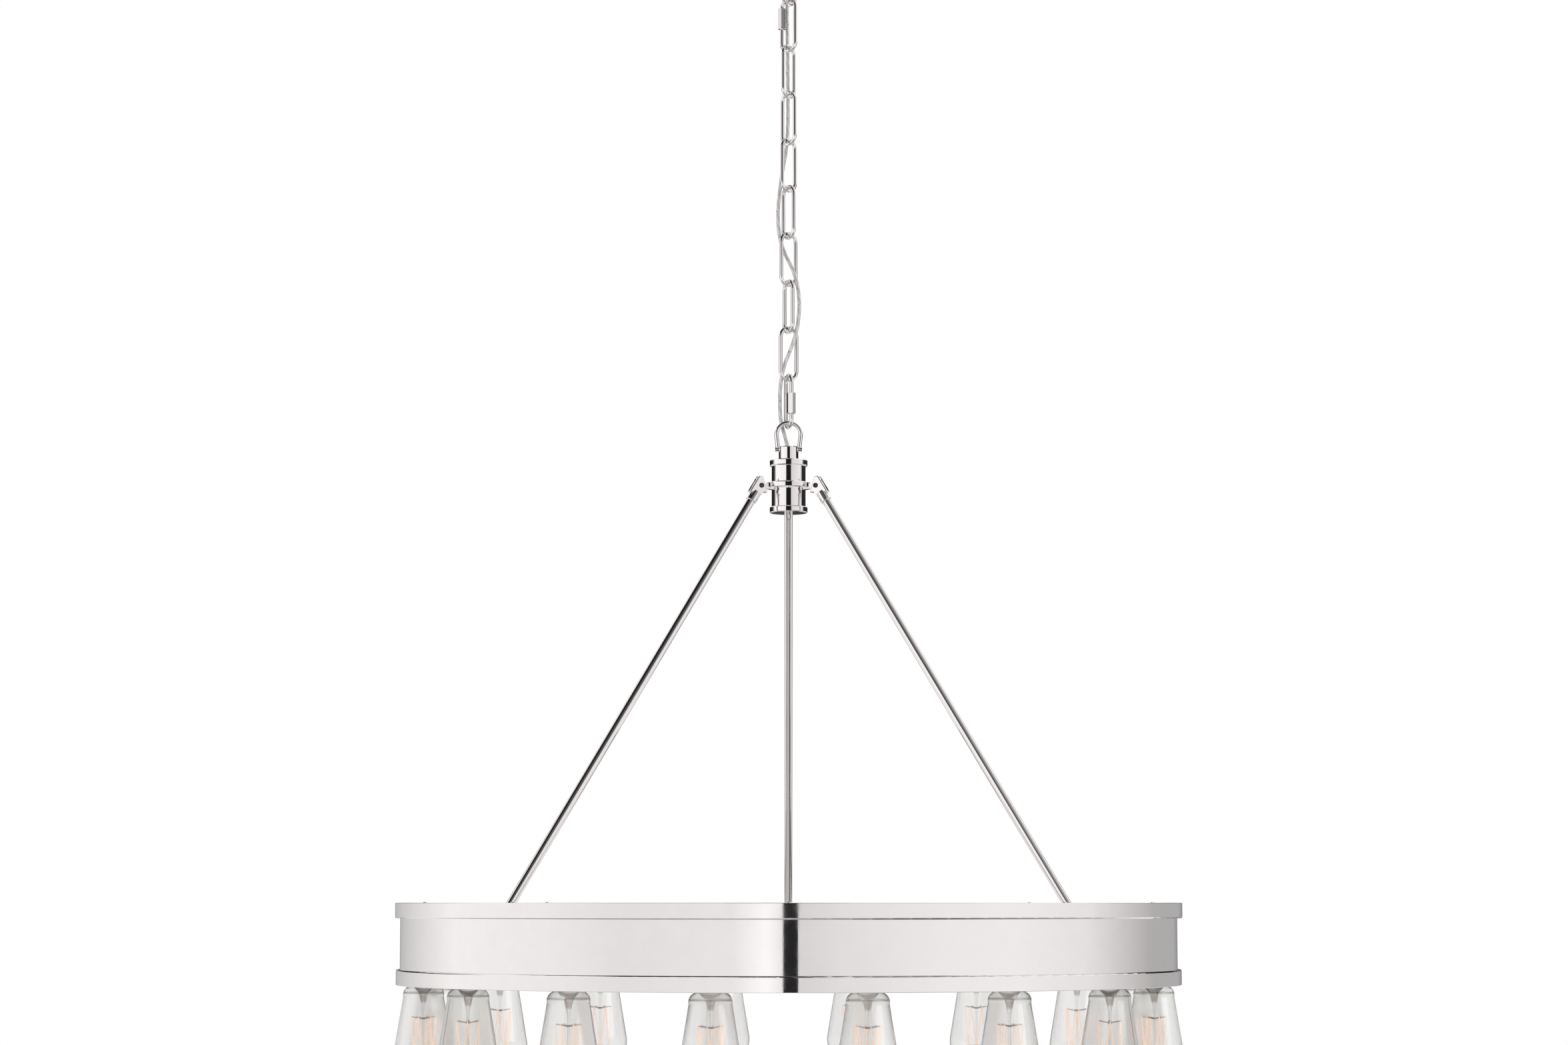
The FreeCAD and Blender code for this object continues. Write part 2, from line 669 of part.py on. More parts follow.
def lug_screws():
    """The screws of one lug, through its foot and the inner band."""
    far_side = lug_screw_spacing / 2 + lug_screw_radius
    end = math.sqrt((inner_band_radius + inner_band_wall) ** 2 - far_side ** 2)
    length = end - lug_seat + lug_foot_wall
    head = lathe([(0, -lug_head_height), (lug_head_radius - edge_break, -lug_head_height),
                  (lug_head_radius, edge_break - lug_head_height), (lug_head_radius, 0),
                  (lug_screw_radius, 0), (lug_screw_radius, length), (0, length)])
    head = head.rotated(ORIGIN, Y_AXIS, QUARTER_TURN)
    places = (-lug_screw_spacing / 2, lug_screw_spacing / 2)
    return [head.translated(Vector(lug_seat - lug_foot_wall, y, lower_pivot_level)) for y in places]


def outer_band():
    return tube(band_radius, band_radius - band_wall, ring_bottom, ring_top)


def inner_band():
    """The inner wall, drilled for the lugs' screws and for the lead at the back."""
    band = tube(inner_band_radius + inner_band_wall, inner_band_radius, ring_bottom, ring_top)
    reach = 2 * inner_band_wall + lug_foot_wall
    for angle in rod_angles:
        for y in (-lug_screw_spacing / 2, lug_screw_spacing / 2):
            start = Vector(inner_band_radius - reach, y, lower_pivot_level)
            hole = rod(lug_screw_radius + fit_gap, start, start + Vector(2 * reach, 0, 0))
            band = band.cut(placed(hole, angle))
    return band.cut(rod_lead_way())


def bead(proud, low, high, rim):
    """A raised flat band, with its edge at the ring's rim sharper than its other edge."""
    ring = tube(band_radius + proud, band_radius + fit_gap, low, high)
    for level in (low, high):
        circles = [e for e in ring.Edges if e.isClosed() and abs(e.Vertexes[0].Z - level) < fit_gap]
        outer = max(circles, key=lambda e: e.Length)
        ring = ring.makeFillet(rim_round if level == rim else bead_round, [outer])
    return ring


def ring_cover():
    """The lid over the wiring, held by screws into the posts."""
    plate = tube(channel_outer, channel_inner, cover_bottom, cover_bottom + cover_wall)
    for hole in polar(Part.makeCylinder(post_screw_radius + fit_gap, cover_wall), post_angles, post_circle):
        plate = plate.cut(hole.translated(Vector(0, 0, cover_bottom)))
    return plate


def socket_plate():
    """The shelf that joins both bands and carries the lampholders."""
    low = plate_top - socket_plate_wall
    plate = tube(channel_outer, channel_inner, low, plate_top)
    lamp_hole = Part.makeCylinder(thread_radius + fit_gap, socket_plate_wall)
    screw_hole = Part.makeCylinder(post_screw_radius + fit_gap, socket_plate_wall)
    holes = polar(lamp_hole, lamp_angles, lamp_circle) + polar(screw_hole, post_angles, post_circle)
    return plate.cut(Part.makeCompound([hole.translated(Vector(0, 0, low)) for hole in holes]))


def cover_post():
    """A spacer between the shelf and the lid, tapped at both ends."""
    tap = post_screw_radius + fit_gap
    post = Part.makeCylinder(post_radius, cover_bottom - plate_top, Vector(0, 0, plate_top))
    post = post.cut(Part.makeCylinder(tap, post_thread_depth, Vector(0, 0, plate_top)))
    return post.cut(Part.makeCylinder(tap, post_thread_depth, Vector(0, 0, cover_bottom - post_thread_depth)))


def post_screw(seat, way):
    """A pan head screw on Z with its head's seat at the given height and its shank pointing the given way."""
    wall = cover_wall if way < 0 else socket_plate_wall
    end = seat + way * (wall + post_thread_depth - edge_break)
    top = seat - way * post_head_height
    return lathe([(0, top), (post_head_radius - edge_break, top), (post_head_radius, top + way * edge_break),
                  (post_head_radius, seat), (post_screw_radius, seat), (post_screw_radius, end), (0, end)])


def lampholder():
    """The insulating body, its screw shell, its centre contact, its threaded tube and its nut."""
    low = ring_bottom + socket_mouth
    top = plate_top - socket_plate_wall
    ceiling = top - socket_top_wall
    seat = ceiling + socket_floor
    hole = thread_radius + fit_gap
    rivet_hole = contact_post_radius + fit_gap
    ease = edge_break
    body = lathe([(socket_cavity_radius, low), (socket_radius - ease, low), (socket_radius, low + ease),
                  (socket_radius, top - ease), (socket_radius - ease, top), (hole, top),
                  (hole, seat), (rivet_hole, seat), (rivet_hole, ceiling), (socket_cavity_radius, ceiling)])
    shell_low = low + edge_break
    shell = tube(shell_radius, shell_bore, shell_low, shell_low + shell_length)
    touch = tip_level() + fit_gap
    contact = lathe([(0, touch), (contact_radius, touch), (contact_radius, touch + contact_wall),
                     (contact_post_radius, touch + contact_wall), (contact_post_radius, seat), (0, seat)])
    nipple = tube(thread_radius, socket_nipple_bore, seat + fit_gap, plate_top + socket_nipple_rise)
    nut = hex_prism(nut_flats, plate_top, plate_top + nut_height, hole)
    return body, shell, contact, nipple, nut


def bulb_edges(inset):
    """The outline of the glass from its neck to its tip, inset by a wall.

    The side is a straight taper from the shoulder, tangent to a round at the widest place, which runs
    into a larger round about the axis at the tip.
    """
    side = bulb_side_round - inset
    wide = Vector(bulb_radius - bulb_side_round, 0, -bulb_wide_drop)
    tip = bulb_tip_drop - inset
    depth = bulb_tip_drop - bulb_wide_drop
    off_axis = bulb_radius - bulb_side_round
    nose = (off_axis ** 2 + depth ** 2 - bulb_side_round ** 2) / (2 * bulb_nose_drop) - inset
    nose_centre = Vector(0, 0, nose - tip)
    join = wide - nose_centre
    join.normalize()
    shoulder = Vector(bulb_shoulder_radius - inset, 0, -bulb_shoulder_drop)
    to_shoulder = shoulder - wide
    lean = math.atan2(to_shoulder.z, to_shoulder.x) - math.acos(side / to_shoulder.Length)
    touch = wide + Vector(math.cos(lean), 0, math.sin(lean)) * side
    meet = wide + join * side
    half = (lean + math.atan2(join.z, join.x)) / 2
    bulge = wide + Vector(math.cos(half), 0, math.sin(half)) * side
    down = math.atan2(join.z, join.x) / 2 - math.pi / 4
    low = nose_centre + Vector(math.cos(down), 0, math.sin(down)) * nose
    neck = Vector(bulb_neck_radius - inset, 0, 0)
    swell = (neck + shoulder) * 0.5 + Vector(bulb_shoulder_swell, 0, bulb_shoulder_swell)
    return [Part.LineSegment(neck + Vector(0, 0, bulb_neck_rise), neck).toShape(),
            Part.Arc(neck, swell, shoulder).toShape(), Part.LineSegment(shoulder, touch).toShape(),
            Part.Arc(touch, bulge, meet).toShape(), Part.Arc(meet, low, Vector(0, 0, -tip)).toShape()]


def bulb_solid(inset):
    edges = bulb_edges(inset)
    top = bulb_neck_rise
    edges.append(Part.LineSegment(Vector(0, 0, inset - bulb_tip_drop), Vector(0, 0, top)).toShape())
    edges.append(Part.LineSegment(Vector(0, 0, top), Vector(bulb_neck_radius - inset, 0, top)).toShape())
    return turned(Part.__sortEdges__(edges))


def tip_level():
    """The height of the lamp cap's centre contact."""
    return ring_bottom + cap_rise + cap_length + insulator_height + tip_height


def bulb_cap():
    """The screw shell of a lamp, with rounded ridges for its thread, and its insulator and contact."""
    low = cap_rise
    top = cap_rise + cap_length
    root = cap_radius - cap_thread_depth
    first = low + cap_length - (cap_thread_count + 0.5) * cap_thread_pitch
    points = [(cap_bore, low), (root, low)]
    for turn in range(cap_thread_count):
        start = first + turn * cap_thread_pitch
        for share, height in ((0.0, 0.0), (0.25, 0.7), (0.5, 1.0), (0.75, 0.7)):
            points.append((root + cap_thread_depth * height, start + share * cap_thread_pitch))
    points += [(root, first + cap_thread_count * cap_thread_pitch), (root, top), (cap_bore, top)]
    shell = lathe(points)
    rim = cap_bore - fit_gap
    seat = top - insulator_seat
    insulator = lathe([(0, seat), (rim, seat), (rim, top), (tip_radius, top + insulator_height),
                       (0, top + insulator_height)])
    tip_low = top + insulator_height
    tip_top = tip_low + tip_height
    contact = lathe([(0, tip_low), (tip_radius, tip_low), (tip_radius / 2, tip_top), (0, tip_top)])
    return shell, insulator, contact


def stem():
    """The glass mount inside a lamp: a flare in the neck, a pressed funnel and a thin rod."""
    points = [(0, stem_flare_rise), (stem_flare_radius, stem_flare_rise), (stem_flare_radius, 0),
              (stem_press_radius, -stem_flare_drop), (stem_neck_radius, -stem_press_drop),
              (stem_rod_radius, -stem_press_drop - stem_neck_radius), (stem_rod_radius, -stem_end_drop),
              (0, -stem_end_drop)]
    return lathe(points)


def hook_points(drop, reach, shift):
    """Points round the axis where the support wires end."""
    step = 2 * math.pi / support_count
    angles = [(i + shift) * step for i in range(support_count)]
    return [Vector(reach * math.cos(a), reach * math.sin(a), -drop) for a in angles]


def support_spider(drop, reach, rise, shift):
    """A ring on the stem with wires that spread to the filament."""
    hole = stem_rod_radius + fit_gap
    half = support_ring_height / 2
    ring = tube(hole + support_ring_wall, hole, -drop - half, -drop + half)
    wires = []
    for end in hook_points(drop - rise, reach, shift):
        start = Vector(end.x, end.y, 0) * ((hole + support_ring_wall / 2) / reach) + Vector(0, 0, -drop)
        wires.append(rod(support_wire_radius, start, end))
    return fuse(ring, *wires)


def filament():
    """One strand that zigzags between the upper and the lower wires."""
    gap = filament_radius + filament_gap
    upper = hook_points(upper_support_drop - upper_support_rise, upper_support_reach + gap, 0.0)
    lower = hook_points(lower_support_drop, lower_support_reach + gap, 0.5)
    route = [point for pair in zip(upper, lower) for point in pair]
    strands = [rod(filament_radius, a, b) for a, b in zip(route, route[1:])]
    bends = [Part.makeSphere(filament_radius, point) for point in route[1:-1]]
    return fuse(*strands, *bends)


def lamps(shape):
    """One copy of a lamp's piece under each lampholder."""
    return polar(shape.translated(Vector(0, 0, ring_bottom)), lamp_angles, lamp_circle)


def ring_wires():
    """Two supply wires that lie round the shelf."""
    level = plate_top + ring_wire_radius + fit_gap
    circles = (ring_wire_circle, ring_wire_circle + ring_wire_spacing)
    return [Part.makeTorus(circle, ring_wire_radius, Vector(0, 0, level)) for circle in circles]


def lamp_lead():
    """A lead that rises from the supply wires, bends over and goes down a lampholder's tube."""
    start = ring_wire_circle + ring_wire_spacing / 2
    half = (lamp_circle - start) / 2
    top = plate_top + lead_rise
    foot = Vector(start, 0, plate_top + 2 * ring_wire_radius + 2 * fit_gap)
    rise = Vector(start, 0, top)
    over = Vector(start + half, 0, top + half)
    fall = Vector(lamp_circle, 0, top)
    end = Vector(lamp_circle, 0, plate_top - socket_plate_wall - socket_top_wall + socket_floor + lead_gap)
    edges = [Part.LineSegment(foot, rise).toShape(), Part.Arc(rise, over, fall).toShape(),
             Part.LineSegment(fall, end).toShape()]
    section = Part.Wire(Part.Circle(foot, Z_AXIS, lamp_lead_radius).toShape())
    return Part.Wire(edges).makePipeShell([section], True, False)


def rod_point(distance, sway=0.0):
    """A point at a distance down the back rod from its upper pivot, and to one side of its axis."""
    lean = math.radians(rod_lean)
    out = upper_pivot_radius + distance * math.sin(lean)
    return Vector(sway, out, pivot_level - distance * math.cos(lean))


def rod_lead_route():
    """From the hub's lower cup into the back rod, down its bore, out near its foot and into the ring."""
    start = hub_connector_length / 2 + edge_break
    route = [Vector(0, start, lead_level), Vector(0, spider_radius + edge_break, lead_level)]
    run = (rod_reach - rod_lead_exit - rod_lead_entry) / rod_lead_runs
    for turn in range(rod_lead_runs + 1):
        inside = 0 < turn < rod_lead_runs
        sway = rod_lead_sway * (-1) ** turn if inside else 0.0
        route.append(rod_point(rod_lead_entry + turn * run, sway))
    hole = Vector(0, channel_inner, ring_top - band_hole_drop)
    wire = Vector(0, ring_wire_circle, plate_top + ring_wire_radius + fit_gap)
    last = wire - hole
    last.normalize()
    return route + [hole, wire - last * (ring_wire_radius + lead_gap)]


def rod_lead():
    solid, radii, length = pipe(rod_lead_route(), rod_lead_radius)
    tell("rod lead", solid, rod_lead_radius, radii, length)
    return solid


def rod_lead_way():
    """The room that the lead needs where it goes through the rod's wall and the inner band."""
    return pipe(rod_lead_route(), rod_lead_radius + lead_gap)[0]


def lamp_cord():
    """The cord, woven through the chain from the canopy's loop to the hub's loop."""
    knots = []
    for plan_angle, reach, level in cord_route:
        a = math.radians(plan_angle)
        knots.append(Vector(reach * math.cos(a), reach * math.sin(a), level))
    solid, radii, length = pipe(knots, cord_radius)
    tell("lamp cord", solid, cord_radius, radii, length)
    return solid


# The cord's places: angle about the chain's axis, distance from it and height.
cord_route = (
    (0.0, 0.0, -8.0),
    (0.0, 0.0, -22.0),
    (95.0, 0.5, -38.0),
    (100.0, 5.6, -52.0),
    (99.0, 9.6, -70.0),
    (97.0, 9.4, -97.0),
    (96.0, 8.8, -124.0),
    (94.0, 9.6, -152.5),
    (92.0, 9.0, -181.5),
    (101.0, 9.4, -208.0),
    (136.0, 8.2, -230.5),
    (163.0, 9.4, -253.5),
    (173.0, 10.9, -276.0),
    (169.0, 9.2, -300.5),
    (160.0, 2.4, -319.0),
    (-14.0, 5.6, -333.5),
    (-15.0, 10.2, -352.0),
    (-18.0, 11.4, -370.5),
    (-21.0, 8.8, -393.0),
    (-30.0, 2.2, -411.5),
    (156.0, 5.8, -428.0),
    (152.0, 9.6, -448.5),
    (148.0, 10.2, -469.5),
    (144.0, 8.9, -484.5),
    (140.0, 3.6, -498.5),
    (0.0, 0.2, -513.5),
    (90.0, 0.4, -529.5),
    (0.0, 0.3, -543.5),
    (0.0, 0.0, -553.6),
)


def nodes():
    """Every node's solids, by name."""
    made = {}
    hub_loop = placed(loop(), 0.0, 0.0, hub_top)
    made["ceiling_bracket"] = [ceiling_bracket()]
    made["canopy"] = [canopy()]
    made["canopy_loop"] = [canopy_loop()]
    nipple_end = -canopy_depth - thread_depth + fit_gap
    made["canopy_nipple"] = [tube(thread_radius, thread_bore, nipple_end, 0)]
    nut_top = -bracket_wall
    made["canopy_locknut"] = [hex_prism(nut_flats, nut_top - nut_height, nut_top, thread_radius + fit_gap)]
    made["ground_screw"] = [ground_screw()]
    made["lamp_cord"] = [lamp_cord()]

    link, nut = upper_quick_pieces()
    made["upper_quick_link"] = [link]
    made["upper_quick_link_sleeve"] = [nut]
    for number in range(1, link_count + 1):
        made[f"chain_link_{number}"] = [chain_link(number)]
    link, nut = lower_quick_pieces()
    made["lower_quick_link"] = [link]
    made["lower_quick_link_sleeve"] = [nut]

    made["hub_loop"] = [hub_loop]
    made["hub_upper_cup"] = [hub_upper_cup()]
    made["hub_spider"] = [hub_spider()]
    made["hub_lower_cup"] = [hub_lower_cup()]
    boss_low = spider_bottom - spider_boss_height
    made["hub_nipple"] = [tube(thread_radius, thread_bore, boss_low, hub_top + thread_depth - fit_gap)]
    nut_top = hub_top - cup_end_wall
    made["hub_locknut"] = [hex_prism(nut_flats, nut_top - nut_height, nut_top, thread_radius + fit_gap)]
    made["hub_connectors"] = hub_connectors()

    for name, angle in zip(("right_rod", "left_rod", "back_rod"), rod_angles):
        made[name] = [rod_tube(angle)]
    made["back_rod"] = [made["back_rod"][0].cut(rod_lead_way())]
    made["rod_lead"] = [rod_lead()]
    upper = fork()
    lower = lower_end(upper)
    screw = pivot_screw()
    made["upper_knuckles"] = [along_rod(upper, angle) for angle in rod_angles]
    made["lower_knuckles"] = [along_rod(lower, angle) for angle in rod_angles]
    made["upper_pivot_screws"] = [along_rod(screw, angle) for angle in rod_angles]
    made["lower_pivot_screws"] = [along_rod(lower_end(screw), angle) for angle in rod_angles]
    made["rod_lugs"] = polar(rod_lug(), rod_angles)
    made["lug_screws"] = [placed(screw, angle) for angle in rod_angles for screw in lug_screws()]

    made["outer_band"] = [outer_band()]
    made["inner_band"] = [inner_band()]
    made["upper_bead"] = [bead(upper_bead_proud, ring_top - upper_bead_height, ring_top, ring_top)]
    made["lower_bead"] = [bead(lower_bead_proud, ring_bottom, ring_bottom + lower_bead_height, ring_bottom)]
    made["ring_cover"] = [ring_cover()]
    made["socket_plate"] = [socket_plate()]
    made["cover_posts"] = polar(cover_post(), post_angles, post_circle)
    made["cover_screws"] = polar(post_screw(cover_bottom + cover_wall, -1), post_angles, post_circle)
    made["post_screws"] = polar(post_screw(plate_top - socket_plate_wall, 1), post_angles, post_circle)

    holder_names = ("socket_bodies", "socket_shells", "socket_contacts", "socket_nipples", "socket_nuts")
    for name, piece in zip(holder_names, lampholder()):
        made[name] = polar(piece, lamp_angles, lamp_circle)
    made["ring_wires"] = ring_wires()
    made["lamp_leads"] = polar(lamp_lead(), lamp_angles)

    made["bulb_glass"] = lamps(bulb_solid(0).cut(bulb_solid(bulb_glass_wall)))
    for name, piece in zip(("bulb_caps", "bulb_insulators", "bulb_tips"), bulb_cap()):
        made[name] = lamps(piece)
    made["bulb_stems"] = lamps(stem())
    upper_wires = support_spider(upper_support_drop, upper_support_reach, upper_support_rise, 0.0)
    lower_wires = support_spider(lower_support_drop, lower_support_reach, 0.0, 0.5)
    made["bulb_supports"] = lamps(upper_wires) + lamps(lower_wires)
    made["bulb_filaments"] = lamps(filament())
    return made


def main():
    os.makedirs("parts", exist_ok=True)
    for name, solids in nodes().items():
        shape = solids[0] if len(solids) == 1 else Part.makeCompound(solids)
        shape.exportStep(f"parts/{name}.step")
    print("pivot", round(pivot_level, 2), "ring", round(ring_bottom, 2), round(ring_top, 2))


main()
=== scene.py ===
"""Ring chandelier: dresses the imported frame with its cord, its finishes, its lamps and a studio.

Everything is in metres, in the frame's own axes: +Z up to the ceiling at zero, and the front faces -Y.
"""

import json
import math

import bmesh
import bpy
import numpy as np
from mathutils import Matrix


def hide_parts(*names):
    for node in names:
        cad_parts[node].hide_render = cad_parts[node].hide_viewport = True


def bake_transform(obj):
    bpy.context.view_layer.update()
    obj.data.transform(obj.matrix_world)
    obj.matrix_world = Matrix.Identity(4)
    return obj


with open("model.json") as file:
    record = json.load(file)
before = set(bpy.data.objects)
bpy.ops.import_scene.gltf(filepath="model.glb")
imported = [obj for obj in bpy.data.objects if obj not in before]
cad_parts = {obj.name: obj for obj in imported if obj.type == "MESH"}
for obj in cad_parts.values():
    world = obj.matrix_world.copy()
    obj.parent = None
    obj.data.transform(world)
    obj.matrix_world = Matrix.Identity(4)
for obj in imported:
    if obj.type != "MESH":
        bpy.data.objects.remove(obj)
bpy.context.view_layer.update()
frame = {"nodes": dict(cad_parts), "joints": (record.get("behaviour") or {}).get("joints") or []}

bl_info = {
    "name": "Ring Chandelier",
    "version": (1, 0, 0),
    "blender": (4, 5, 0),
    "location": "View3D > Sidebar > Chandelier",
    "description": "Dresses a ring chandelier with its cord, finishes, lamps and studio",
    "category": "Object",
}

WHITE = (1.0, 1.0, 1.0, 1.0)
FULL_TURN = 2.0 * math.pi

# The cord's places: angle about the chain's axis in degrees, distance from it and height
CORD_ROUTE = (
    (0.0, 0.0, -0.008),
    (0.0, 0.0, -0.022),
    (95.0, 0.0005, -0.038),
    (100.0, 0.0056, -0.052),
    (99.0, 0.0096, -0.07),
    (97.0, 0.0094, -0.097),
    (96.0, 0.0088, -0.124),
    (94.0, 0.0096, -0.1525),
    (92.0, 0.009, -0.1815),
    (101.0, 0.0094, -0.208),
    (136.0, 0.0082, -0.2305),
    (163.0, 0.0094, -0.2535),
    (173.0, 0.0109, -0.276),
    (169.0, 0.0092, -0.3005),
    (160.0, 0.0024, -0.319),
    (-14.0, 0.0056, -0.3335),
    (-15.0, 0.0102, -0.352),
    (-18.0, 0.0114, -0.3705),
    (-21.0, 0.0088, -0.393),
    (-30.0, 0.0022, -0.4115),
    (156.0, 0.0058, -0.428),
    (152.0, 0.0096, -0.4485),
    (148.0, 0.0102, -0.4695),
    (144.0, 0.0089, -0.4845),
    (140.0, 0.0036, -0.4985),
    (0.0, 0.0002, -0.5135),
    (90.0, 0.0004, -0.5295),
    (0.0, 0.0003, -0.5435),
    (0.0, 0.0, -0.5536),
)

# A stretch of cord has at least this many steps, and points nearer than this become one
FEWEST_STEPS = 4
MERGE_DISTANCE = 1e-7

# The clear cord: roughness between the strands, its change on a strand, and the fine wires' height
GAP_ROUGHNESS = 0.42
STRAND_POLISH = -0.15
FINE_WIRE_HEIGHT = 0.25

# Wiped metal: streaks for each cloud of marks, the marks' gain and offset, and grains per metre
STREAKS_PER_CLOUD = 9.0
MARK_GAIN = 3.2
MARK_OFFSET = -0.35
METAL_GRAIN = 900.0

# Moulded surfaces: drifts of shade per metre, and the power that gathers them into specks
SHADE_DRIFTS = 25.0
SPECK_POWER = 1.6

# The share of a shaded line's height that each of its two ramps takes
LINE_RAMP = 0.25

# The room that polished metal mirrors: degrees about Z from the front, to the right, and a shade
LOW_ROOM = (
    (-180.0, 0.05), (-160.0, 0.42), (-132.0, 0.66), (-110.0, 0.85), (-70.0, 0.81), (-47.0, 0.73),
    (-15.0, 0.77), (-6.0, 0.95), (3.0, 0.64), (14.0, 0.71), (44.0, 0.80), (66.0, 0.81), (92.0, 0.74),
    (110.0, 0.55), (126.0, 0.40), (152.0, 0.37), (180.0, 0.04))
HIGH_ROOM = (
    (-180.0, 0.02), (-112.0, 0.02), (-92.0, 0.95), (-30.0, 0.88), (-18.0, 0.80), (-15.0, 0.01),
    (15.0, 0.01), (18.0, 0.62), (40.0, 0.70), (88.0, 0.80), (104.0, 0.02), (180.0, 0.02))

# Cards that polished metal mirrors: name, middle, two spans, a shade and the share of a span that fades out
CARDS = (
    ("camera_gap", (0.03, -3.9, -1.0), (0.28, 0.0, 0.0), (0.0, 0.0, 0.7), 0.02, 0.02),
    ("low_front", (-1.05, -2.0, 0.9), (3.9, 0.0, 0.0), (0.0, 0.0, 1.9), 0.10, 0.12),
    ("dark_front", (-1.15, -1.99, 1.5), (3.9, 0.0, 0.0), (0.0, 0.0, 0.9), 0.02, 0.25),
    ("right_front", (1.6, -2.01, 0.9), (2.8, 0.0, 0.0), (0.0, 0.0, 1.9), 0.24, 0.15),
    ("dark_ceiling", (-1.25, -0.75, 1.5), (3.7, 0.0, 0.0), (0.0, 3.7, 0.0), 0.02, 0.12),
    ("grey_ceiling", (1.8, -1.2, 1.5), (2.8, 0.0, 0.0), (0.0, 2.8, 0.0), 0.4, 0.15),
    ("grey_floor", (0.0, -0.8, -1.76), (5.4, 0.0, 0.0), (0.0, 4.8, 0.0), 0.42, 0.3),
    ("dark_floor", (0.72, -0.4, -1.75), (0.95, 0.0, 0.0), (0.0, 2.8, 0.0), 0.13, 0.3),
    ("pale_strip", (-0.15, -0.4, -1.75), (0.7, 0.0, 0.0), (0.0, 2.8, 0.0), 0.58, 0.3),
)

# The floor's own light: its share of white near the middle and far from it, with the two distances
FLOOR_FADE = {"From Min": 2.5, "From Max": 9.0, "To Min": 0.8, "To Max": 1.0}

# Square lamps: name, place, width and power, all pointed at one place near the ring's middle
SOFTBOXES = (
    ("key_light", (-2.2, -2.6, 1.6), 2.4, 90.0),
    ("side_light", (2.6, -1.6, 0.4), 2.0, 45.0),
)
LIT_PLACE = (0.0, 0.0, -0.9)

# Nodes by finish
POLISHED = (
    "canopy", "canopy_loop", "upper_quick_link", "upper_quick_link_sleeve", "lower_quick_link",
    "lower_quick_link_sleeve", "hub_loop", "hub_upper_cup", "hub_spider", "hub_lower_cup", "right_rod",
    "left_rod", "back_rod", "upper_knuckles", "lower_knuckles", "rod_lugs", "lug_screws", "outer_band",
    "inner_band", "upper_bead", "lower_bead", "ring_cover", "cover_screws",
    *(f"chain_link_{count}" for count in range(1, 8)))
# The pivot screws: their near-black colour is painted shade, standing in for the dark sockets in their heads
SHADE_PAINTED_SCREWS = ("upper_pivot_screws", "lower_pivot_screws")
PLATED = (
    "ceiling_bracket", "canopy_nipple", "canopy_locknut", "hub_nipple", "hub_locknut", "socket_plate",
    "cover_posts", "post_screws", "socket_nipples", "socket_nuts")
BRASS = ("ground_screw", "socket_shells", "socket_contacts", "bulb_caps", "bulb_tips")
WIRES = ("ring_wires", "lamp_leads", "hub_connectors")

# The places of a Mix node's sockets for two colours and for their mix
FIRST_COLOUR, SECOND_COLOUR, MIXED_COLOUR = 6, 7, 2

# What every colour setting and every share setting has in common
COLOUR = {"size": 4, "subtype": "COLOR", "min": 0.0, "max": 1.0}
SHARE = {"min": 0.0, "max": 1.0}


# Settings

class CordSettings(bpy.types.PropertyGroup):
    """Sizes and colours of the lamp cord."""

    diameter: bpy.props.FloatProperty(
        name="Diameter", description="Across the clear jacket", default=0.0036, unit="LENGTH")
    sides: bpy.props.IntProperty(
        name="Sides", description="Faces round the jacket", default=20, min=8)
    bend: bpy.props.FloatProperty(
        name="Bend", description="Length of cord, each side of a link's pivot, that bends with it",
        default=0.018, unit="LENGTH")
    strands: bpy.props.IntProperty(
        name="Strands", description="Strands that wind side by side", default=2, min=1)
    fine_wires: bpy.props.IntProperty(
        name="Fine wires", description="Fine wires across each strand", default=7, min=1)
    strand_pitch: bpy.props.FloatProperty(
        name="Strand pitch", description="Length along the cord from one strand to the next",
        default=0.011, unit="LENGTH")
    strand_colour: bpy.props.FloatVectorProperty(
        name="Strand colour", description="Tinned wire seen through the jacket",
        default=(0.74, 0.73, 0.72, 1.0), **COLOUR)
    gap_colour: bpy.props.FloatVectorProperty(
        name="Gap colour", description="Shade between the strands", default=(0.58, 0.57, 0.56, 1.0), **COLOUR)


class MetalSettings(bpy.types.PropertyGroup):
    """Colours and polish of the metals."""

    nickel: bpy.props.FloatVectorProperty(
        name="Nickel", description="Clean polished nickel", default=(0.88, 0.848, 0.842, 1.0), **COLOUR)
    nickel_handled: bpy.props.FloatVectorProperty(
        name="Handled nickel", description="Nickel where it has been wiped",
        default=(0.855, 0.818, 0.812, 1.0), **COLOUR)
    nickel_roughness: bpy.props.FloatProperty(
        name="Nickel roughness", description="Roughness of the polish", default=0.03, **SHARE)
    # The pivot screws' near-black colour is painted shade that stands in for the dark sockets in their heads
    blackened: bpy.props.FloatVectorProperty(
        name="Blackened steel", description="Dark finish of the pivot screws",
        default=(0.06, 0.055, 0.055, 1.0), **COLOUR)
    steel: bpy.props.FloatVectorProperty(
        name="Plated steel", description="Zinc plated steel of the hidden fittings",
        default=(0.56, 0.565, 0.57, 1.0), **COLOUR)
    brass: bpy.props.FloatVectorProperty(
        name="Brass", description="Plain brass of the lamp caps", default=(0.80, 0.60, 0.30, 1.0), **COLOUR)


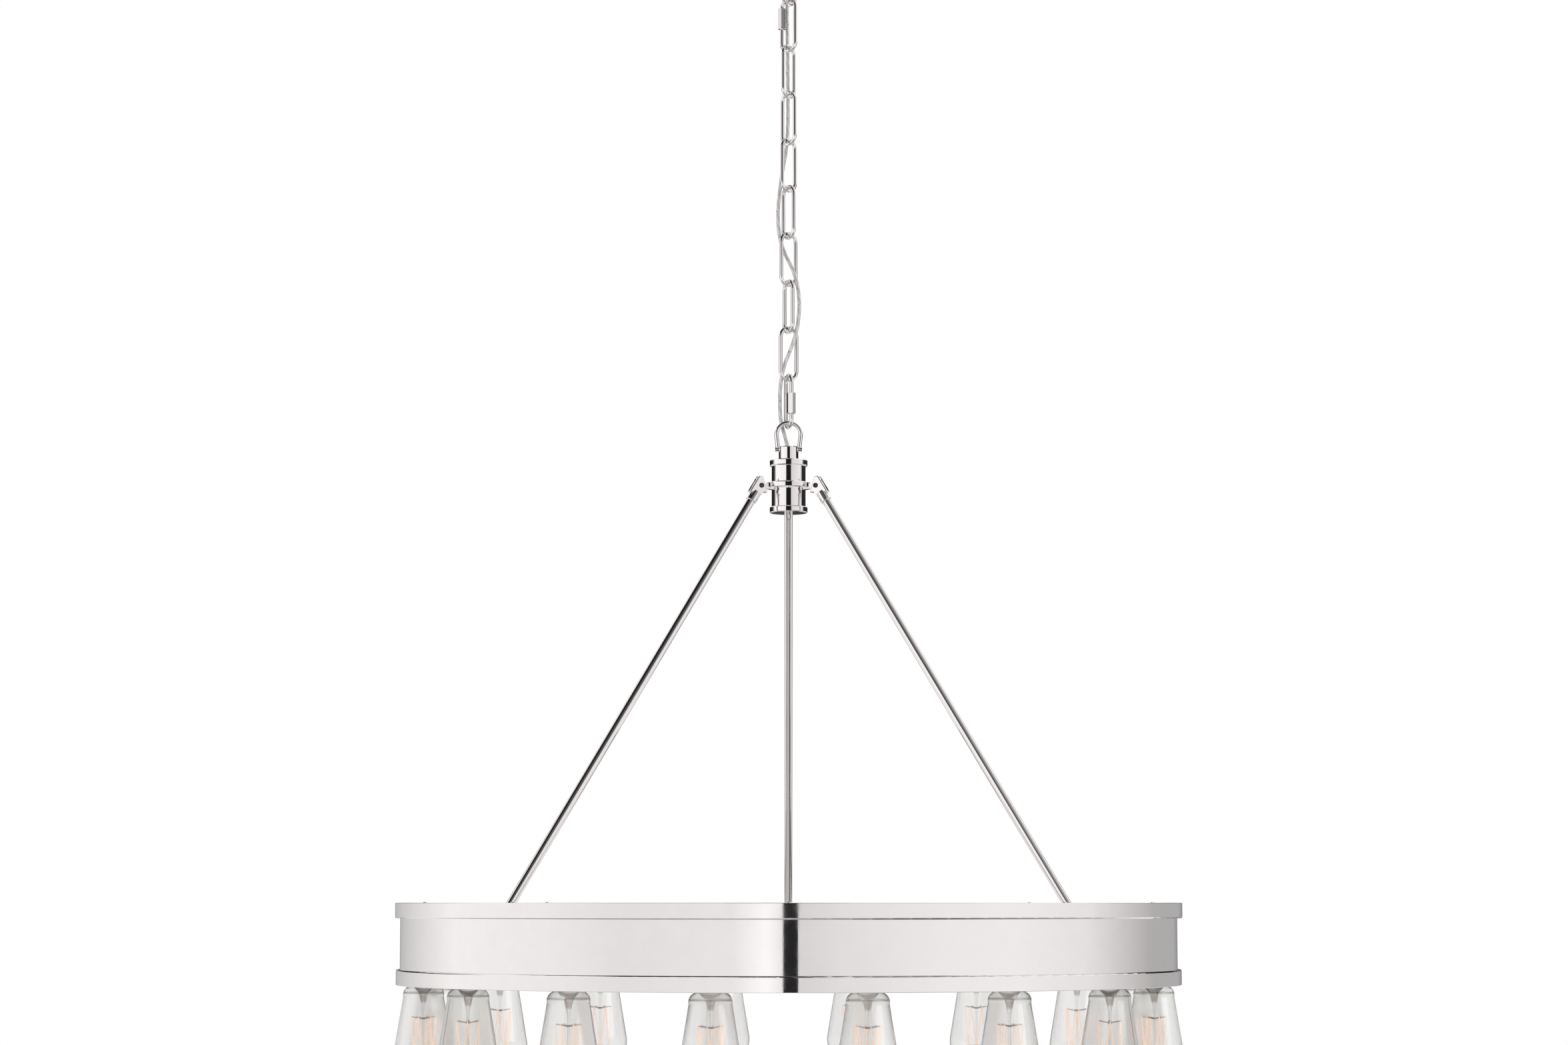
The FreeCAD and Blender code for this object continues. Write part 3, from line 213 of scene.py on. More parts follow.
class LampSettings(bpy.types.PropertyGroup):
    """Colours of the lamps and their holders, and the lines on the lamps' glass: a painted shade at the
    bulbs' shoulders, and the tint of the stems' pressed glass.
    """

    glass: bpy.props.FloatVectorProperty(
        name="Glass", description="Faint tint of the bulbs", default=(0.915, 0.912, 0.905, 1.0), **COLOUR)
    glass_index: bpy.props.FloatProperty(
        name="Index", description="Index of refraction of the glass", default=1.45, min=1.0, max=2.0)
    softness: bpy.props.FloatProperty(
        name="Softness", description="Roughness of the bulbs, which blurs what is inside",
        default=0.13, **SHARE)
    # The shoulder line is painted shade: a darker band in the bulbs' glass colour just below the ring
    shoulder_shade: bpy.props.FloatVectorProperty(
        name="Shoulder", description="Shade of the line at the bulbs' shoulders",
        default=(0.60, 0.59, 0.55, 1.0), **COLOUR)
    shoulder_drop: bpy.props.FloatProperty(
        name="Shoulder drop", description="From the ring's lower edge to the line", default=0.0058,
        unit="LENGTH")
    shoulder_length: bpy.props.FloatProperty(
        name="Shoulder length", description="Height of the line", default=0.0022, unit="LENGTH")
    stem_index: bpy.props.FloatProperty(
        name="Stem index", description="Index of refraction of the stems", default=1.04, min=1.0, max=2.0)
    stem_softness: bpy.props.FloatProperty(
        name="Stem softness", description="Roughness of the stems", default=0.05, **SHARE)
    press: bpy.props.FloatVectorProperty(
        name="Press", description="Tint of the pressed glass round the lead wires",
        default=(0.60, 0.55, 0.52, 1.0), **COLOUR)
    press_drop: bpy.props.FloatProperty(
        name="Press drop", description="From the ring's lower edge to the pressed glass", default=0.007,
        unit="LENGTH")
    press_length: bpy.props.FloatProperty(
        name="Press length", description="Length of the pressed glass", default=0.010, unit="LENGTH")
    support: bpy.props.FloatVectorProperty(
        name="Support wires", description="Dull wires that hold the strands",
        default=(0.42, 0.39, 0.37, 1.0), **COLOUR)
    filament: bpy.props.FloatVectorProperty(
        name="Filament", description="Colour of the dimmed strands", default=(1.0, 0.72, 0.57, 1.0), **COLOUR)
    glow: bpy.props.FloatProperty(
        name="Glow", description="Strength of the strands' light", default=0.78, min=0.0)
    holder: bpy.props.FloatVectorProperty(
        name="Lampholder", description="Glazed body of the lampholders",
        default=(0.80, 0.79, 0.75, 1.0), **COLOUR)
    wire_cover: bpy.props.FloatVectorProperty(
        name="Wire cover", description="Pale cover of the wires in ring and hub",
        default=(0.78, 0.76, 0.71, 1.0), **COLOUR)
    insulator: bpy.props.FloatVectorProperty(
        name="Insulator", description="Black glass of the lamp caps",
        default=(0.02, 0.02, 0.022, 1.0), **COLOUR)


class StageSettings(bpy.types.PropertyGroup):
    """Camera, light and surroundings."""

    camera_place: bpy.props.FloatVectorProperty(
        name="Camera", description="Where the camera stands", default=(-0.0045, -3.695, -0.9515),
        subtype="TRANSLATION", unit="LENGTH")
    camera_tilt: bpy.props.FloatProperty(
        name="Tilt", description="How far the camera looks up", default=math.radians(5.715), unit="ROTATION",
        subtype="ANGLE")
    lens: bpy.props.FloatProperty(
        name="Lens", description="Focal length in millimetres", default=87.2, min=10.0)
    fill: bpy.props.FloatProperty(
        name="Fill", description="Strength of the light from all round", default=0.55, min=0.0)
    floor_level: bpy.props.FloatProperty(
        name="Floor", description="Height of the floor", default=-1.9, unit="LENGTH")
    floor_width: bpy.props.FloatProperty(
        name="Floor width", description="Width and depth of the floor", default=40.0, unit="LENGTH")
    floor_shade: bpy.props.FloatProperty(
        name="Floor shade", description="Shade of the floor's paint", default=0.86, **SHARE)
    room_radius: bpy.props.FloatProperty(
        name="Room", description="Radius of the room that the metal mirrors", default=4.2, unit="LENGTH")
    room_sides: bpy.props.IntProperty(
        name="Room sides", description="Faces round the room", default=128, min=16)
    room_top: bpy.props.FloatProperty(
        name="Room top", description="Height of the room's wall", default=1.6, unit="LENGTH")
    low_room: bpy.props.FloatProperty(
        name="Low shades", description="Height up to which the low shades reach", default=-0.80,
        unit="LENGTH")
    high_room: bpy.props.FloatProperty(
        name="High shades", description="Height from which the high shades hold", default=-0.55,
        unit="LENGTH")
    upper_start: bpy.props.FloatProperty(
        name="Upper start", description="Height above which the high shades turn pale", default=0.25,
        unit="LENGTH")
    upper_end: bpy.props.FloatProperty(
        name="Upper end", description="Height from which the room is evenly pale", default=0.60,
        unit="LENGTH")
    upper_shade: bpy.props.FloatProperty(
        name="Upper shade", description="Shade of the room's upper part", default=0.72, **SHARE)
    room_light: bpy.props.FloatProperty(
        name="Room light", description="Strength of the room's shades", default=1.2, min=0.0)


# Node helpers

def add_node(tree, kind, **settings):
    """A node of the kind, with its own settings."""
    made = tree.nodes.new(kind)
    for name, value in settings.items():
        setattr(made, name, value)
    return made


def set_inputs(node, values):
    """Sets input sockets to plain values by name."""
    for label, value in values.items():
        node.inputs[label].default_value = value


def wire(tree, source, target):
    """Joins an output socket to an input socket."""
    tree.links.new(source, target)


def feed(tree, term, target):
    """Joins an output socket to an input socket, or sets the input to a plain value."""
    if isinstance(term, bpy.types.NodeSocket):
        wire(tree, term, target)
    else:
        target.default_value = term


def number(tree, operation, *terms, clamp=False):
    """A Math node; each term is a number or an output socket."""
    made = add_node(tree, "ShaderNodeMath", operation=operation, use_clamp=clamp)
    for term, target in zip(terms, made.inputs):
        feed(tree, term, target)
    return made.outputs[0]


def mix_colour(tree, share, first, second):
    """A mix of two colours by a socket's share; each colour is a value or an output socket."""
    made = add_node(tree, "ShaderNodeMix", data_type="RGBA")
    wire(tree, share, made.inputs["Factor"])
    feed(tree, first, made.inputs[FIRST_COLOUR])
    feed(tree, second, made.inputs[SECOND_COLOUR])
    return made.outputs[MIXED_COLOUR]


def mix_shaders(tree, share, first, second):
    """A mix of two shaders by a socket's share."""
    made = add_node(tree, "ShaderNodeMixShader")
    for source, target in zip((share, first, second), made.inputs):
        wire(tree, source, target)
    return made.outputs[0]


def map_range(tree, value, limits, interpolation="LINEAR"):
    """A Map Range node on a socket's value, with its limits by name."""
    made = add_node(tree, "ShaderNodeMapRange", interpolation_type=interpolation)
    wire(tree, value, made.inputs["Value"])
    set_inputs(made, limits)
    return made.outputs["Result"]


def noise(tree, vector, scale, detail):
    """A soft noise value on the given coordinates; the scale is a number or a socket."""
    made = add_node(tree, "ShaderNodeTexNoise")
    wire(tree, vector, made.inputs["Vector"])
    feed(tree, scale, made.inputs["Scale"])
    made.inputs["Detail"].default_value = detail
    return made.outputs[0]


def split(tree, vector):
    """The X, Y and Z sockets of a vector's socket."""
    made = add_node(tree, "ShaderNodeSeparateXYZ")
    wire(tree, vector, made.inputs["Vector"])
    return made.outputs


def object_place(tree):
    """The socket of the Object coordinates."""
    return add_node(tree, "ShaderNodeTexCoord").outputs["Object"]


def map_place(tree, name):
    """The X, Y and Z sockets of a UV map."""
    return split(tree, add_node(tree, "ShaderNodeUVMap", uv_map=name).outputs["UV"])


def height_share(tree, low, high):
    """Zero below the low height, one above the high one, and a ramp between them."""
    return map_range(tree, split(tree, object_place(tree))["Z"], {"From Min": low, "From Max": high})


def level_line(tree, top, length):
    """One in a band of heights below the top, and zero outside it, with short ramps at both ends."""
    ramp = LINE_RAMP * length
    above = height_share(tree, top - ramp, top)
    inside = height_share(tree, top - length, top - length + ramp)
    return number(tree, "SUBTRACT", inside, above, clamp=True)


# Surface groups

def new_group(name, inputs):
    """An empty shader group and its two end nodes.

    Its inputs are given, and it puts out a colour, a roughness and a height.
    """
    group = bpy.data.node_groups.new(name, "ShaderNodeTree")
    for label, kind, value in inputs:
        socket = group.interface.new_socket(name=label, in_out="INPUT", socket_type=kind)
        if value is not None:
            socket.default_value = value
    for label, kind in (("Color", "NodeSocketColor"), ("Roughness", "NodeSocketFloat"),
                        ("Height", "NodeSocketFloat")):
        group.interface.new_socket(name=label, in_out="OUTPUT", socket_type=kind)
    return group, add_node(group, "NodeGroupInput"), add_node(group, "NodeGroupOutput")


def wiped_metal_group():
    """Soft cloth marks on metal: a cloudy mask moves colour and roughness, and a fine grain is the height."""
    name = "Wiped metal"
    if name in bpy.data.node_groups:
        return bpy.data.node_groups[name]
    group, given, result = new_group(name, [
        ("Vector", "NodeSocketVector", None), ("Clean", "NodeSocketColor", WHITE),
        ("Handled", "NodeSocketColor", WHITE), ("Marks per metre", "NodeSocketFloat", 9.0),
        ("Roughness", "NodeSocketFloat", 0.05), ("Spread", "NodeSocketFloat", 0.04)])
    vector = given.outputs["Vector"]
    marks = given.outputs["Marks per metre"]
    clouds = noise(group, vector, marks, detail=4.0)
    streaks = noise(group, vector, number(group, "MULTIPLY", marks, STREAKS_PER_CLOUD), detail=3.0)
    both = number(group, "MULTIPLY", clouds, streaks)
    mask = number(group, "MULTIPLY_ADD", both, MARK_GAIN, MARK_OFFSET, clamp=True)
    shade = mix_colour(group, mask, given.outputs["Clean"], given.outputs["Handled"])
    wire(group, shade, result.inputs["Color"])
    extra = number(group, "MULTIPLY", mask, given.outputs["Spread"])
    wire(group, number(group, "ADD", extra, given.outputs["Roughness"]), result.inputs["Roughness"])
    wire(group, noise(group, vector, METAL_GRAIN, detail=2.0), result.inputs["Height"])
    return group


def moulded_group():
    """Moulded or glazed surfaces: slow drifts of shade, fine specks, and a soft orange-peel height."""
    name = "Moulded surface"
    if name in bpy.data.node_groups:
        return bpy.data.node_groups[name]
    group, given, result = new_group(name, [
        ("Vector", "NodeSocketVector", None), ("Body", "NodeSocketColor", WHITE),
        ("Speck", "NodeSocketColor", WHITE), ("Grain per metre", "NodeSocketFloat", 300.0),
        ("Roughness", "NodeSocketFloat", 0.4), ("Spread", "NodeSocketFloat", 0.1)])
    vector = given.outputs["Vector"]
    drift = noise(group, vector, SHADE_DRIFTS, detail=2.0)
    grain = noise(group, vector, given.outputs["Grain per metre"], detail=3.0)
    specks = number(group, "POWER", number(group, "MULTIPLY", drift, grain), SPECK_POWER, clamp=True)
    shade = mix_colour(group, specks, given.outputs["Body"], given.outputs["Speck"])
    wire(group, shade, result.inputs["Color"])
    extra = number(group, "MULTIPLY", grain, given.outputs["Spread"])
    wire(group, number(group, "ADD", extra, given.outputs["Roughness"]), result.inputs["Roughness"])
    wire(group, grain, result.inputs["Height"])
    return group


# Materials

def new_material(name):
    """A material with an empty principled surface, its tree and that surface."""
    material = bpy.data.materials.new(name)
    material.use_nodes = True
    tree = material.node_tree
    return material, tree, tree.nodes["Principled BSDF"]


def place_group(tree, group, values):
    """A group node on Object coordinates with its own values."""
    made = add_node(tree, "ShaderNodeGroup", node_tree=group)
    wire(tree, object_place(tree), made.inputs["Vector"])
    set_inputs(made, values)
    return made


def bump(tree, height, surface, strength, distance):
    """Turns a height into the surface's normal."""
    made = add_node(tree, "ShaderNodeBump")
    set_inputs(made, {"Strength": strength, "Distance": distance})
    wire(tree, height, made.inputs["Height"])
    wire(tree, made.outputs["Normal"], surface.inputs["Normal"])


def metal_material(name, clean, handled, roughness, spread, marks):
    """A bare or plated metal with wiped marks."""
    material, tree, surface = new_material(name)
    surface.inputs["Metallic"].default_value = 1.0
    marked = place_group(tree, wiped_metal_group(), {
        "Clean": clean, "Handled": handled, "Marks per metre": marks, "Roughness": roughness,
        "Spread": spread})
    wire(tree, marked.outputs["Color"], surface.inputs["Base Color"])
    wire(tree, marked.outputs["Roughness"], surface.inputs["Roughness"])
    bump(tree, marked.outputs["Height"], surface, strength=0.02, distance=0.0001)
    return material


def moulded_material(name, body, speck, grain, roughness, spread, coat=0.0):
    """A moulded or glazed insulator."""
    material, tree, surface = new_material(name)
    surface.inputs["Coat Weight"].default_value = coat
    marked = place_group(tree, moulded_group(), {
        "Body": body, "Speck": speck, "Grain per metre": grain, "Roughness": roughness, "Spread": spread})
    wire(tree, marked.outputs["Color"], surface.inputs["Base Color"])
    wire(tree, marked.outputs["Roughness"], surface.inputs["Roughness"])
    bump(tree, marked.outputs["Height"], surface, strength=0.15, distance=0.0002)
    return material


def shaded(colour, share):
    """A colour times a share, with full alpha."""
    return tuple(channel * share for channel in colour[:3]) + (1.0,)


def grey(shade):
    """An even grey with full alpha."""
    return (shade, shade, shade, 1.0)


def paint(names, material):
    """Puts one material on each named node."""
    for name in names:
        if name not in frame["nodes"]:
            raise RuntimeError(f"the frame has no node {name}")
        mesh = frame["nodes"][name].data
        mesh.materials.clear()
        mesh.materials.append(material)


# Cord

def cord_line():
    """The cord's smooth line, read from a spline whose control points are the route."""
    angle, reach, level = np.array(CORD_ROUTE).T
    angle = np.radians(angle)
    knots = np.column_stack([reach * np.cos(angle), reach * np.sin(angle), level, np.ones_like(level)])
    curve = bpy.data.curves.new("cord_route", "CURVE")
    curve.dimensions = "3D"
    spline = curve.splines.new("NURBS")
    spline.points.add(len(knots) - 1)
    spline.points.foreach_set("co", knots.astype(np.float32).ravel())
    spline.order_u = 3
    spline.use_endpoint_u = True
    holder = bpy.data.objects.new("cord_route", curve)
    bpy.context.scene.collection.objects.link(holder)
    bpy.context.view_layer.update()
    line = bpy.data.meshes.new_from_object(holder)
    points = np.empty(len(line.vertices) * 3)
    line.vertices.foreach_get("co", points)
    bpy.data.objects.remove(holder)
    bpy.data.curves.remove(curve)
    bpy.data.meshes.remove(line)
    return points.reshape(-1, 3)


def run_lengths(line):
    """The length along the line at each of its points: the sum of the steps before it."""
    steps = np.linalg.norm(np.diff(line, axis=0), axis=1)
    return np.concatenate([[0.0], np.cumsum(steps)])


def tube_rows(line, radius, sides):
    """Circles across the line.

    Each is the radius times the cosine and the sine of an angle, along two directions across the line.
    """
    along = np.gradient(line, axis=0)
    along /= np.linalg.norm(along, axis=1, keepdims=True)
    first = np.cross(along, (1.0, 0.0, 0.0))
    first /= np.linalg.norm(first, axis=1, keepdims=True)
    second = np.cross(along, first)
    turn = np.linspace(0.0, FULL_TURN, sides, endpoint=False)[None, :, None]
    return line[:, None, :] + radius * (np.cos(turn) * first[:, None, :] + np.sin(turn) * second[:, None, :])


def tube_mesh(name, grid, lengths):
    """A closed tube from a grid of rows by sides; rows that shrink to a point are merged into poles.

    The map's first value goes once round the tube, and its second is the length along it.
    """
    rows, sides = grid.shape[:2]
    row, side = np.meshgrid(np.arange(rows - 1), np.arange(sides), indexing="ij")
    next_side = (side + 1) % sides
    corners = np.stack([row * sides + side, row * sides + next_side,
                        (row + 1) * sides + next_side, (row + 1) * sides + side], axis=-1).reshape(-1, 4)
    mesh = bpy.data.meshes.new(name)
    mesh.from_pydata(grid.reshape(-1, 3).tolist(), [], corners.tolist())
    round_share = np.stack([side, side + 1, side + 1, side], axis=-1) / sides
    along = np.stack([lengths[row], lengths[row], lengths[row + 1], lengths[row + 1]], axis=-1)
    layer = mesh.uv_layers.new(name="Wrap")
    layer.data.foreach_set("uv", np.stack([round_share, along], axis=-1).astype(np.float32).ravel())
    mesh.polygons.foreach_set("use_smooth", np.ones(len(mesh.polygons), bool))
    work = bmesh.new()
    work.from_mesh(mesh)
    bmesh.ops.remove_doubles(work, verts=work.verts, dist=MERGE_DISTANCE)
    work.to_mesh(mesh)
    work.free()
    return mesh


def clear_cord_material(settings):
    """Tinned strands that wind inside a clear jacket, under a glossy coat.

    The shade is the sine of a lean: the share round the cord times the strands, plus the length in pitches.
    Quicker sines of the same lean are the fine wires.
    """
    material, tree, surface = new_material("clear_cord")
    place = map_place(tree, "Wrap")
    pitches = number(tree, "DIVIDE", place["Y"], settings.strand_pitch)
    lean = number(tree, "MULTIPLY_ADD", place["X"], settings.strands, pitches)
    wave = number(tree, "SINE", number(tree, "MULTIPLY", lean, FULL_TURN))
    share = number(tree, "MULTIPLY_ADD", wave, 0.5, 0.5, clamp=True)
    shade = mix_colour(tree, share, settings.gap_colour, settings.strand_colour)
    wire(tree, shade, surface.inputs["Base Color"])
    roughness = number(tree, "MULTIPLY_ADD", share, STRAND_POLISH, GAP_ROUGHNESS)
    wire(tree, roughness, surface.inputs["Roughness"])
    fine = number(tree, "SINE", number(tree, "MULTIPLY", lean, FULL_TURN * settings.fine_wires))
    height = number(tree, "MULTIPLY_ADD", fine, FINE_WIRE_HEIGHT, share)
    bump(tree, height, surface, strength=0.25, distance=0.0003)
    set_inputs(surface, {"Metallic": 0.55, "Coat Weight": 1.0, "Coat Roughness": 0.08})
    return material


class HangCord(bpy.types.Operator):
    """Weaves the clear cord through the chain, in one stretch for each link's pivot"""

    bl_idname = "chandelier.hang_cord"
    bl_label = "Hang the cord"

    def execute(self, context):
        settings = context.scene.chandelier_cord
        pivots = [joint for joint in frame["joints"] if joint["type"] == "hinge"]
        levels = np.array([joint["pos_m"][2] for joint in pivots])
        line = cord_line()
        rows = tube_rows(line, settings.diameter / 2, settings.sides)
        lengths = run_lengths(line)
        cuts = np.searchsorted(-line[:, 2], -(levels[:-1] + levels[1:]) / 2)
        ends = [0, *cuts, len(line) - 1]
        material = clear_cord_material(settings)
        for count, (joint, first, last) in enumerate(zip(pivots, ends, ends[1:]), start=1):
            if last - first < FEWEST_STEPS:
                raise RuntimeError(f"the cord has too few points at {joint['name']}")
            part = slice(first, last + 1)
            closed = np.concatenate([np.broadcast_to(line[first], rows[:1].shape), rows[part],
                                     np.broadcast_to(line[last], rows[:1].shape)])
            along = np.concatenate([lengths[first:first + 1], lengths[part], lengths[last:last + 1]])
            mesh = tube_mesh(f"cord_{count}", closed, along)
            mesh.materials.append(material)
            piece = bpy.data.objects.new(f"cord_{count}", mesh)
            context.scene.collection.objects.link(piece)
            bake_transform(piece)
            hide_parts("lamp_cord")
        paint(["rod_lead"], moulded_material(
            "lead_jacket", settings.strand_colour, settings.gap_colour, grain=500.0, roughness=0.25,
            spread=0.1, coat=1.0))
        return {"FINISHED"}


# Finishes

class FinishMetal(bpy.types.Operator):
    """Polishes the nickel pieces, paints the pivot screws near-black as a painted shade of their sockets, and
    finishes the plated steel and the brass
    """

    bl_idname = "chandelier.finish_metal"
    bl_label = "Finish the metal"

    def execute(self, context):
        settings = context.scene.chandelier_metal
        paint(POLISHED, metal_material(
            "polished_nickel", settings.nickel, settings.nickel_handled,
            roughness=settings.nickel_roughness, spread=0.05, marks=7.0))
        # The pivot screws get a near-black paint: painted shade standing in for their dark sockets
        paint(SHADE_PAINTED_SCREWS, metal_material(
            "dark_screw", settings.blackened, shaded(settings.blackened, 1.6),
            roughness=0.35, spread=0.15, marks=120.0))
        paint(PLATED, metal_material(
            "plated_steel", settings.steel, shaded(settings.steel, 0.8),
            roughness=0.28, spread=0.15, marks=30.0))
        paint(BRASS, metal_material(
            "lamp_brass", settings.brass, shaded(settings.brass, 0.75),
            roughness=0.2, spread=0.15, marks=60.0))
        return {"FINISHED"}


class FinishLampholders(bpy.types.Operator):
    """Glazes the lampholders and colours the wires and the lamp caps' insulators"""

    bl_idname = "chandelier.finish_lampholders"
    bl_label = "Finish the lampholders"

    def execute(self, context):
        settings = context.scene.chandelier_lamp
        paint(["socket_bodies"], moulded_material(
            "lampholder_glaze", settings.holder, shaded(settings.holder, 0.7),
            grain=220.0, roughness=0.18, spread=0.12, coat=0.6))
        paint(WIRES, moulded_material(
            "wire_cover", settings.wire_cover, shaded(settings.wire_cover, 0.75),
            grain=800.0, roughness=0.45, spread=0.2))
        paint(["bulb_insulators"], moulded_material(
            "cap_insulator", settings.insulator, shaded(settings.insulator, 3.0),
            grain=400.0, roughness=0.15, spread=0.2))
        return {"FINISHED"}


# Lamps

def ring_edge():
    """The height of the ring's lower edge."""
    return min(corner[2] for corner in frame["nodes"]["lower_bead"].bound_box)


def glass_material(name, tint, index, roughness, line, top, length):
    """Clear drawn glass: faint waves move its tint, its polish and its height, and a level line takes the
    line's colour: a painted shade on the bulbs, the pressed glass's tint on the stems.
    """
    material, tree, surface = new_material(name)
    set_inputs(surface, {"Transmission Weight": 1.0, "IOR": index})
    marked = place_group(tree, moulded_group(), {
        "Body": tint, "Speck": shaded(tint, 0.97), "Grain per metre": 70.0, "Roughness": roughness,
        "Spread": 0.008})
    # The level line's colour: on the bulbs a painted shade at the shoulder, on the stems the pressed glass's
    # tint
    shade = mix_colour(tree, level_line(tree, top, length), marked.outputs["Color"], line)
    wire(tree, shade, surface.inputs["Base Color"])
    wire(tree, marked.outputs["Roughness"], surface.inputs["Roughness"])
    bump(tree, marked.outputs["Height"], surface, strength=0.02, distance=0.0002)
    return material


def filament_material(colour, glow):
    """A dim carbon strand: its glow drifts along the wire."""
    material, tree, surface = new_material("filament_glow")
    marked = place_group(tree, moulded_group(), {
        "Body": colour, "Speck": shaded(colour, 0.72), "Grain per metre": 500.0, "Roughness": 0.5,
        "Spread": 0.2})
    wire(tree, marked.outputs["Color"], surface.inputs["Emission Color"])
    wire(tree, marked.outputs["Roughness"], surface.inputs["Roughness"])
    set_inputs(surface, {"Base Color": shaded(colour, 0.35), "Emission Strength": glow})
    return material


class FinishLamps(bpy.types.Operator):
    """Gives the lamps their clear glass, their glass stems, their wires and their dim strands"""

    bl_idname = "chandelier.finish_lamps"
    bl_label = "Finish the lamps"

    def execute(self, context):
        settings = context.scene.chandelier_lamp
        edge = ring_edge()
        # The bulbs' shoulder line is a painted shade in the glass colour
        paint(["bulb_glass"], glass_material(
            "bulb_glass", settings.glass, settings.glass_index, settings.softness, settings.shoulder_shade,
            edge - settings.shoulder_drop, settings.shoulder_length))
        paint(["bulb_stems"], glass_material(
            "stem_glass", settings.glass, settings.stem_index, settings.stem_softness, settings.press,
            edge - settings.press_drop, settings.press_length))
        paint(["bulb_supports"], metal_material(
            "support_wire", settings.support, shaded(settings.support, 0.8),
            roughness=0.35, spread=0.2, marks=200.0))
        paint(["bulb_filaments"], filament_material(settings.filament, settings.glow))
        return {"FINISHED"}


# Stage

def stage_piece(name, corners, faces, material):
    """A mesh that belongs to the stage."""
    mesh = bpy.data.meshes.new(name)
    mesh.from_pydata(corners.tolist(), [], faces.tolist())
    mesh.materials.append(material)
    made = bpy.data.objects.new(name, mesh)
    bpy.context.scene.collection.objects.link(made)
    return made


def card(name, middle, across, up, material):
    """A flat card: the middle plus or minus half of two spans.

    Its map goes from zero to one along each span.
    """
    share = np.array([(-0.5, -0.5), (0.5, -0.5), (0.5, 0.5), (-0.5, 0.5)])
    corners = np.array(middle) + share[:, :1] * np.array(across) + share[:, 1:] * np.array(up)
    made = stage_piece(name, corners, np.array([(0, 1, 2, 3)]), material)
    layer = made.data.uv_layers.new(name="Card")
    layer.data.foreach_set("uv", (share + 0.5).astype(np.float32).ravel())
    return made


def mirrored_only(piece):
    """Leaves a stage piece to be seen by reflections and by nothing else."""
    piece.visible_camera = False
    piece.visible_diffuse = False
    piece.visible_transmission = False
    piece.visible_shadow = False


def lit_material(name):
    """A material that only gives off light, its tree and its light's node."""
    material, tree, surface = new_material(name)
    tree.nodes.remove(surface)
    light = add_node(tree, "ShaderNodeEmission")
    wire(tree, light.outputs[0], tree.nodes["Material Output"].inputs["Surface"])
    return material, tree, light


def room_ramp(tree, turn, stops):
    """Shades round the room.

    The turn goes from zero at the back, past the left, the front and the right, to one at the back again.
    """
    ramp = add_node(tree, "ShaderNodeValToRGB")
    marks = ramp.color_ramp.elements
    for mark, place, stop in ((marks[0], 0.0, stops[0]), (marks[1], 1.0, stops[-1])):
        mark.position = place
        mark.color = grey(stop[1])
    for degrees, shade in stops[1:-1]:
        marks.new(degrees / 360.0 + 0.5).color = grey(shade)
    wire(tree, turn, ramp.inputs["Fac"])
    return ramp.outputs["Color"]


def room_material(settings):
    """Shades by the angle about Z: one set low down, another above it, and an even shade on top."""
    material, tree, light = lit_material("mirrored_room")
    place = split(tree, object_place(tree))
    angle = number(tree, "ARCTAN2", place["X"], number(tree, "MULTIPLY", place["Y"], -1.0))
    turn = number(tree, "ADD", number(tree, "DIVIDE", angle, FULL_TURN), 0.5)
    height = height_share(tree, settings.low_room, settings.high_room)
    lower = mix_colour(tree, height, room_ramp(tree, turn, LOW_ROOM), room_ramp(tree, turn, HIGH_ROOM))
    upper = height_share(tree, settings.upper_start, settings.upper_end)
    wire(tree, mix_colour(tree, upper, lower, grey(settings.upper_shade)), light.inputs["Color"])
    light.inputs["Strength"].default_value = settings.room_light
    return material


def room_wall(settings):
    """An upright cylinder: the radius times the sine and minus the cosine of each angle, at two heights."""
    angle = np.linspace(-np.pi, np.pi, settings.room_sides, endpoint=False)
    plan = settings.room_radius * np.column_stack([np.sin(angle), -np.cos(angle)])
    low = np.column_stack([plan, np.full(len(plan), settings.floor_level)])
    high = np.column_stack([plan, np.full(len(plan), settings.room_top)])
    side = np.arange(len(plan))
    following = (side + 1) % len(plan)
    faces = np.column_stack([side, following, following + len(plan), side + len(plan)])
    return np.concatenate([low, high]), faces


def side_share(tree, distance, edge):
    """Zero at a card's two sides across one span, and one from the edge's share of that span inwards."""
    inwards = number(tree, "PINGPONG", distance, 0.5)
    return map_range(tree, inwards, {"From Max": edge}, interpolation="SMOOTHSTEP")


def reflection_card(name, middle, across, up, shade, edge):
    """A card of one shade that only polished surfaces see, and that fades out towards its sides."""
    material, tree, light = lit_material(name)
    light.inputs["Color"].default_value = grey(shade)
    place = map_place(tree, "Card")
    inside = number(tree, "MULTIPLY", side_share(tree, place["X"], edge), side_share(tree, place["Y"], edge))
    clear = add_node(tree, "ShaderNodeBsdfTransparent")
    faded = mix_shaders(tree, inside, clear.outputs[0], light.outputs[0])
    wire(tree, faded, tree.nodes["Material Output"].inputs["Surface"])
    mirrored_only(card(name, middle, across, up, material))


def softbox(name, place, width, power):
    """A square lamp that points at the lit place and is not mirrored."""
    light = bpy.data.lights.new(name, "AREA")
    light.size = width
    light.energy = power
    made = bpy.data.objects.new(name, light)
    bpy.context.scene.collection.objects.link(made)
    made.location = place
    away = np.array(place) - np.array(LIT_PLACE)
    made.rotation_euler = (math.atan2(math.hypot(away[0], away[1]), away[2]), 0.0,
                           math.atan2(away[0], -away[1]))
    made.visible_glossy = False


def seen_as_white(tree):
    """One for rays that come from the camera, a reflection or glass, and zero for the rest."""
    path = add_node(tree, "ShaderNodeLightPath")
    seen = number(tree, "ADD", path.outputs["Is Camera Ray"], path.outputs["Is Glossy Ray"])
    return number(tree, "ADD", seen, path.outputs["Is Transmission Ray"], clamp=True)


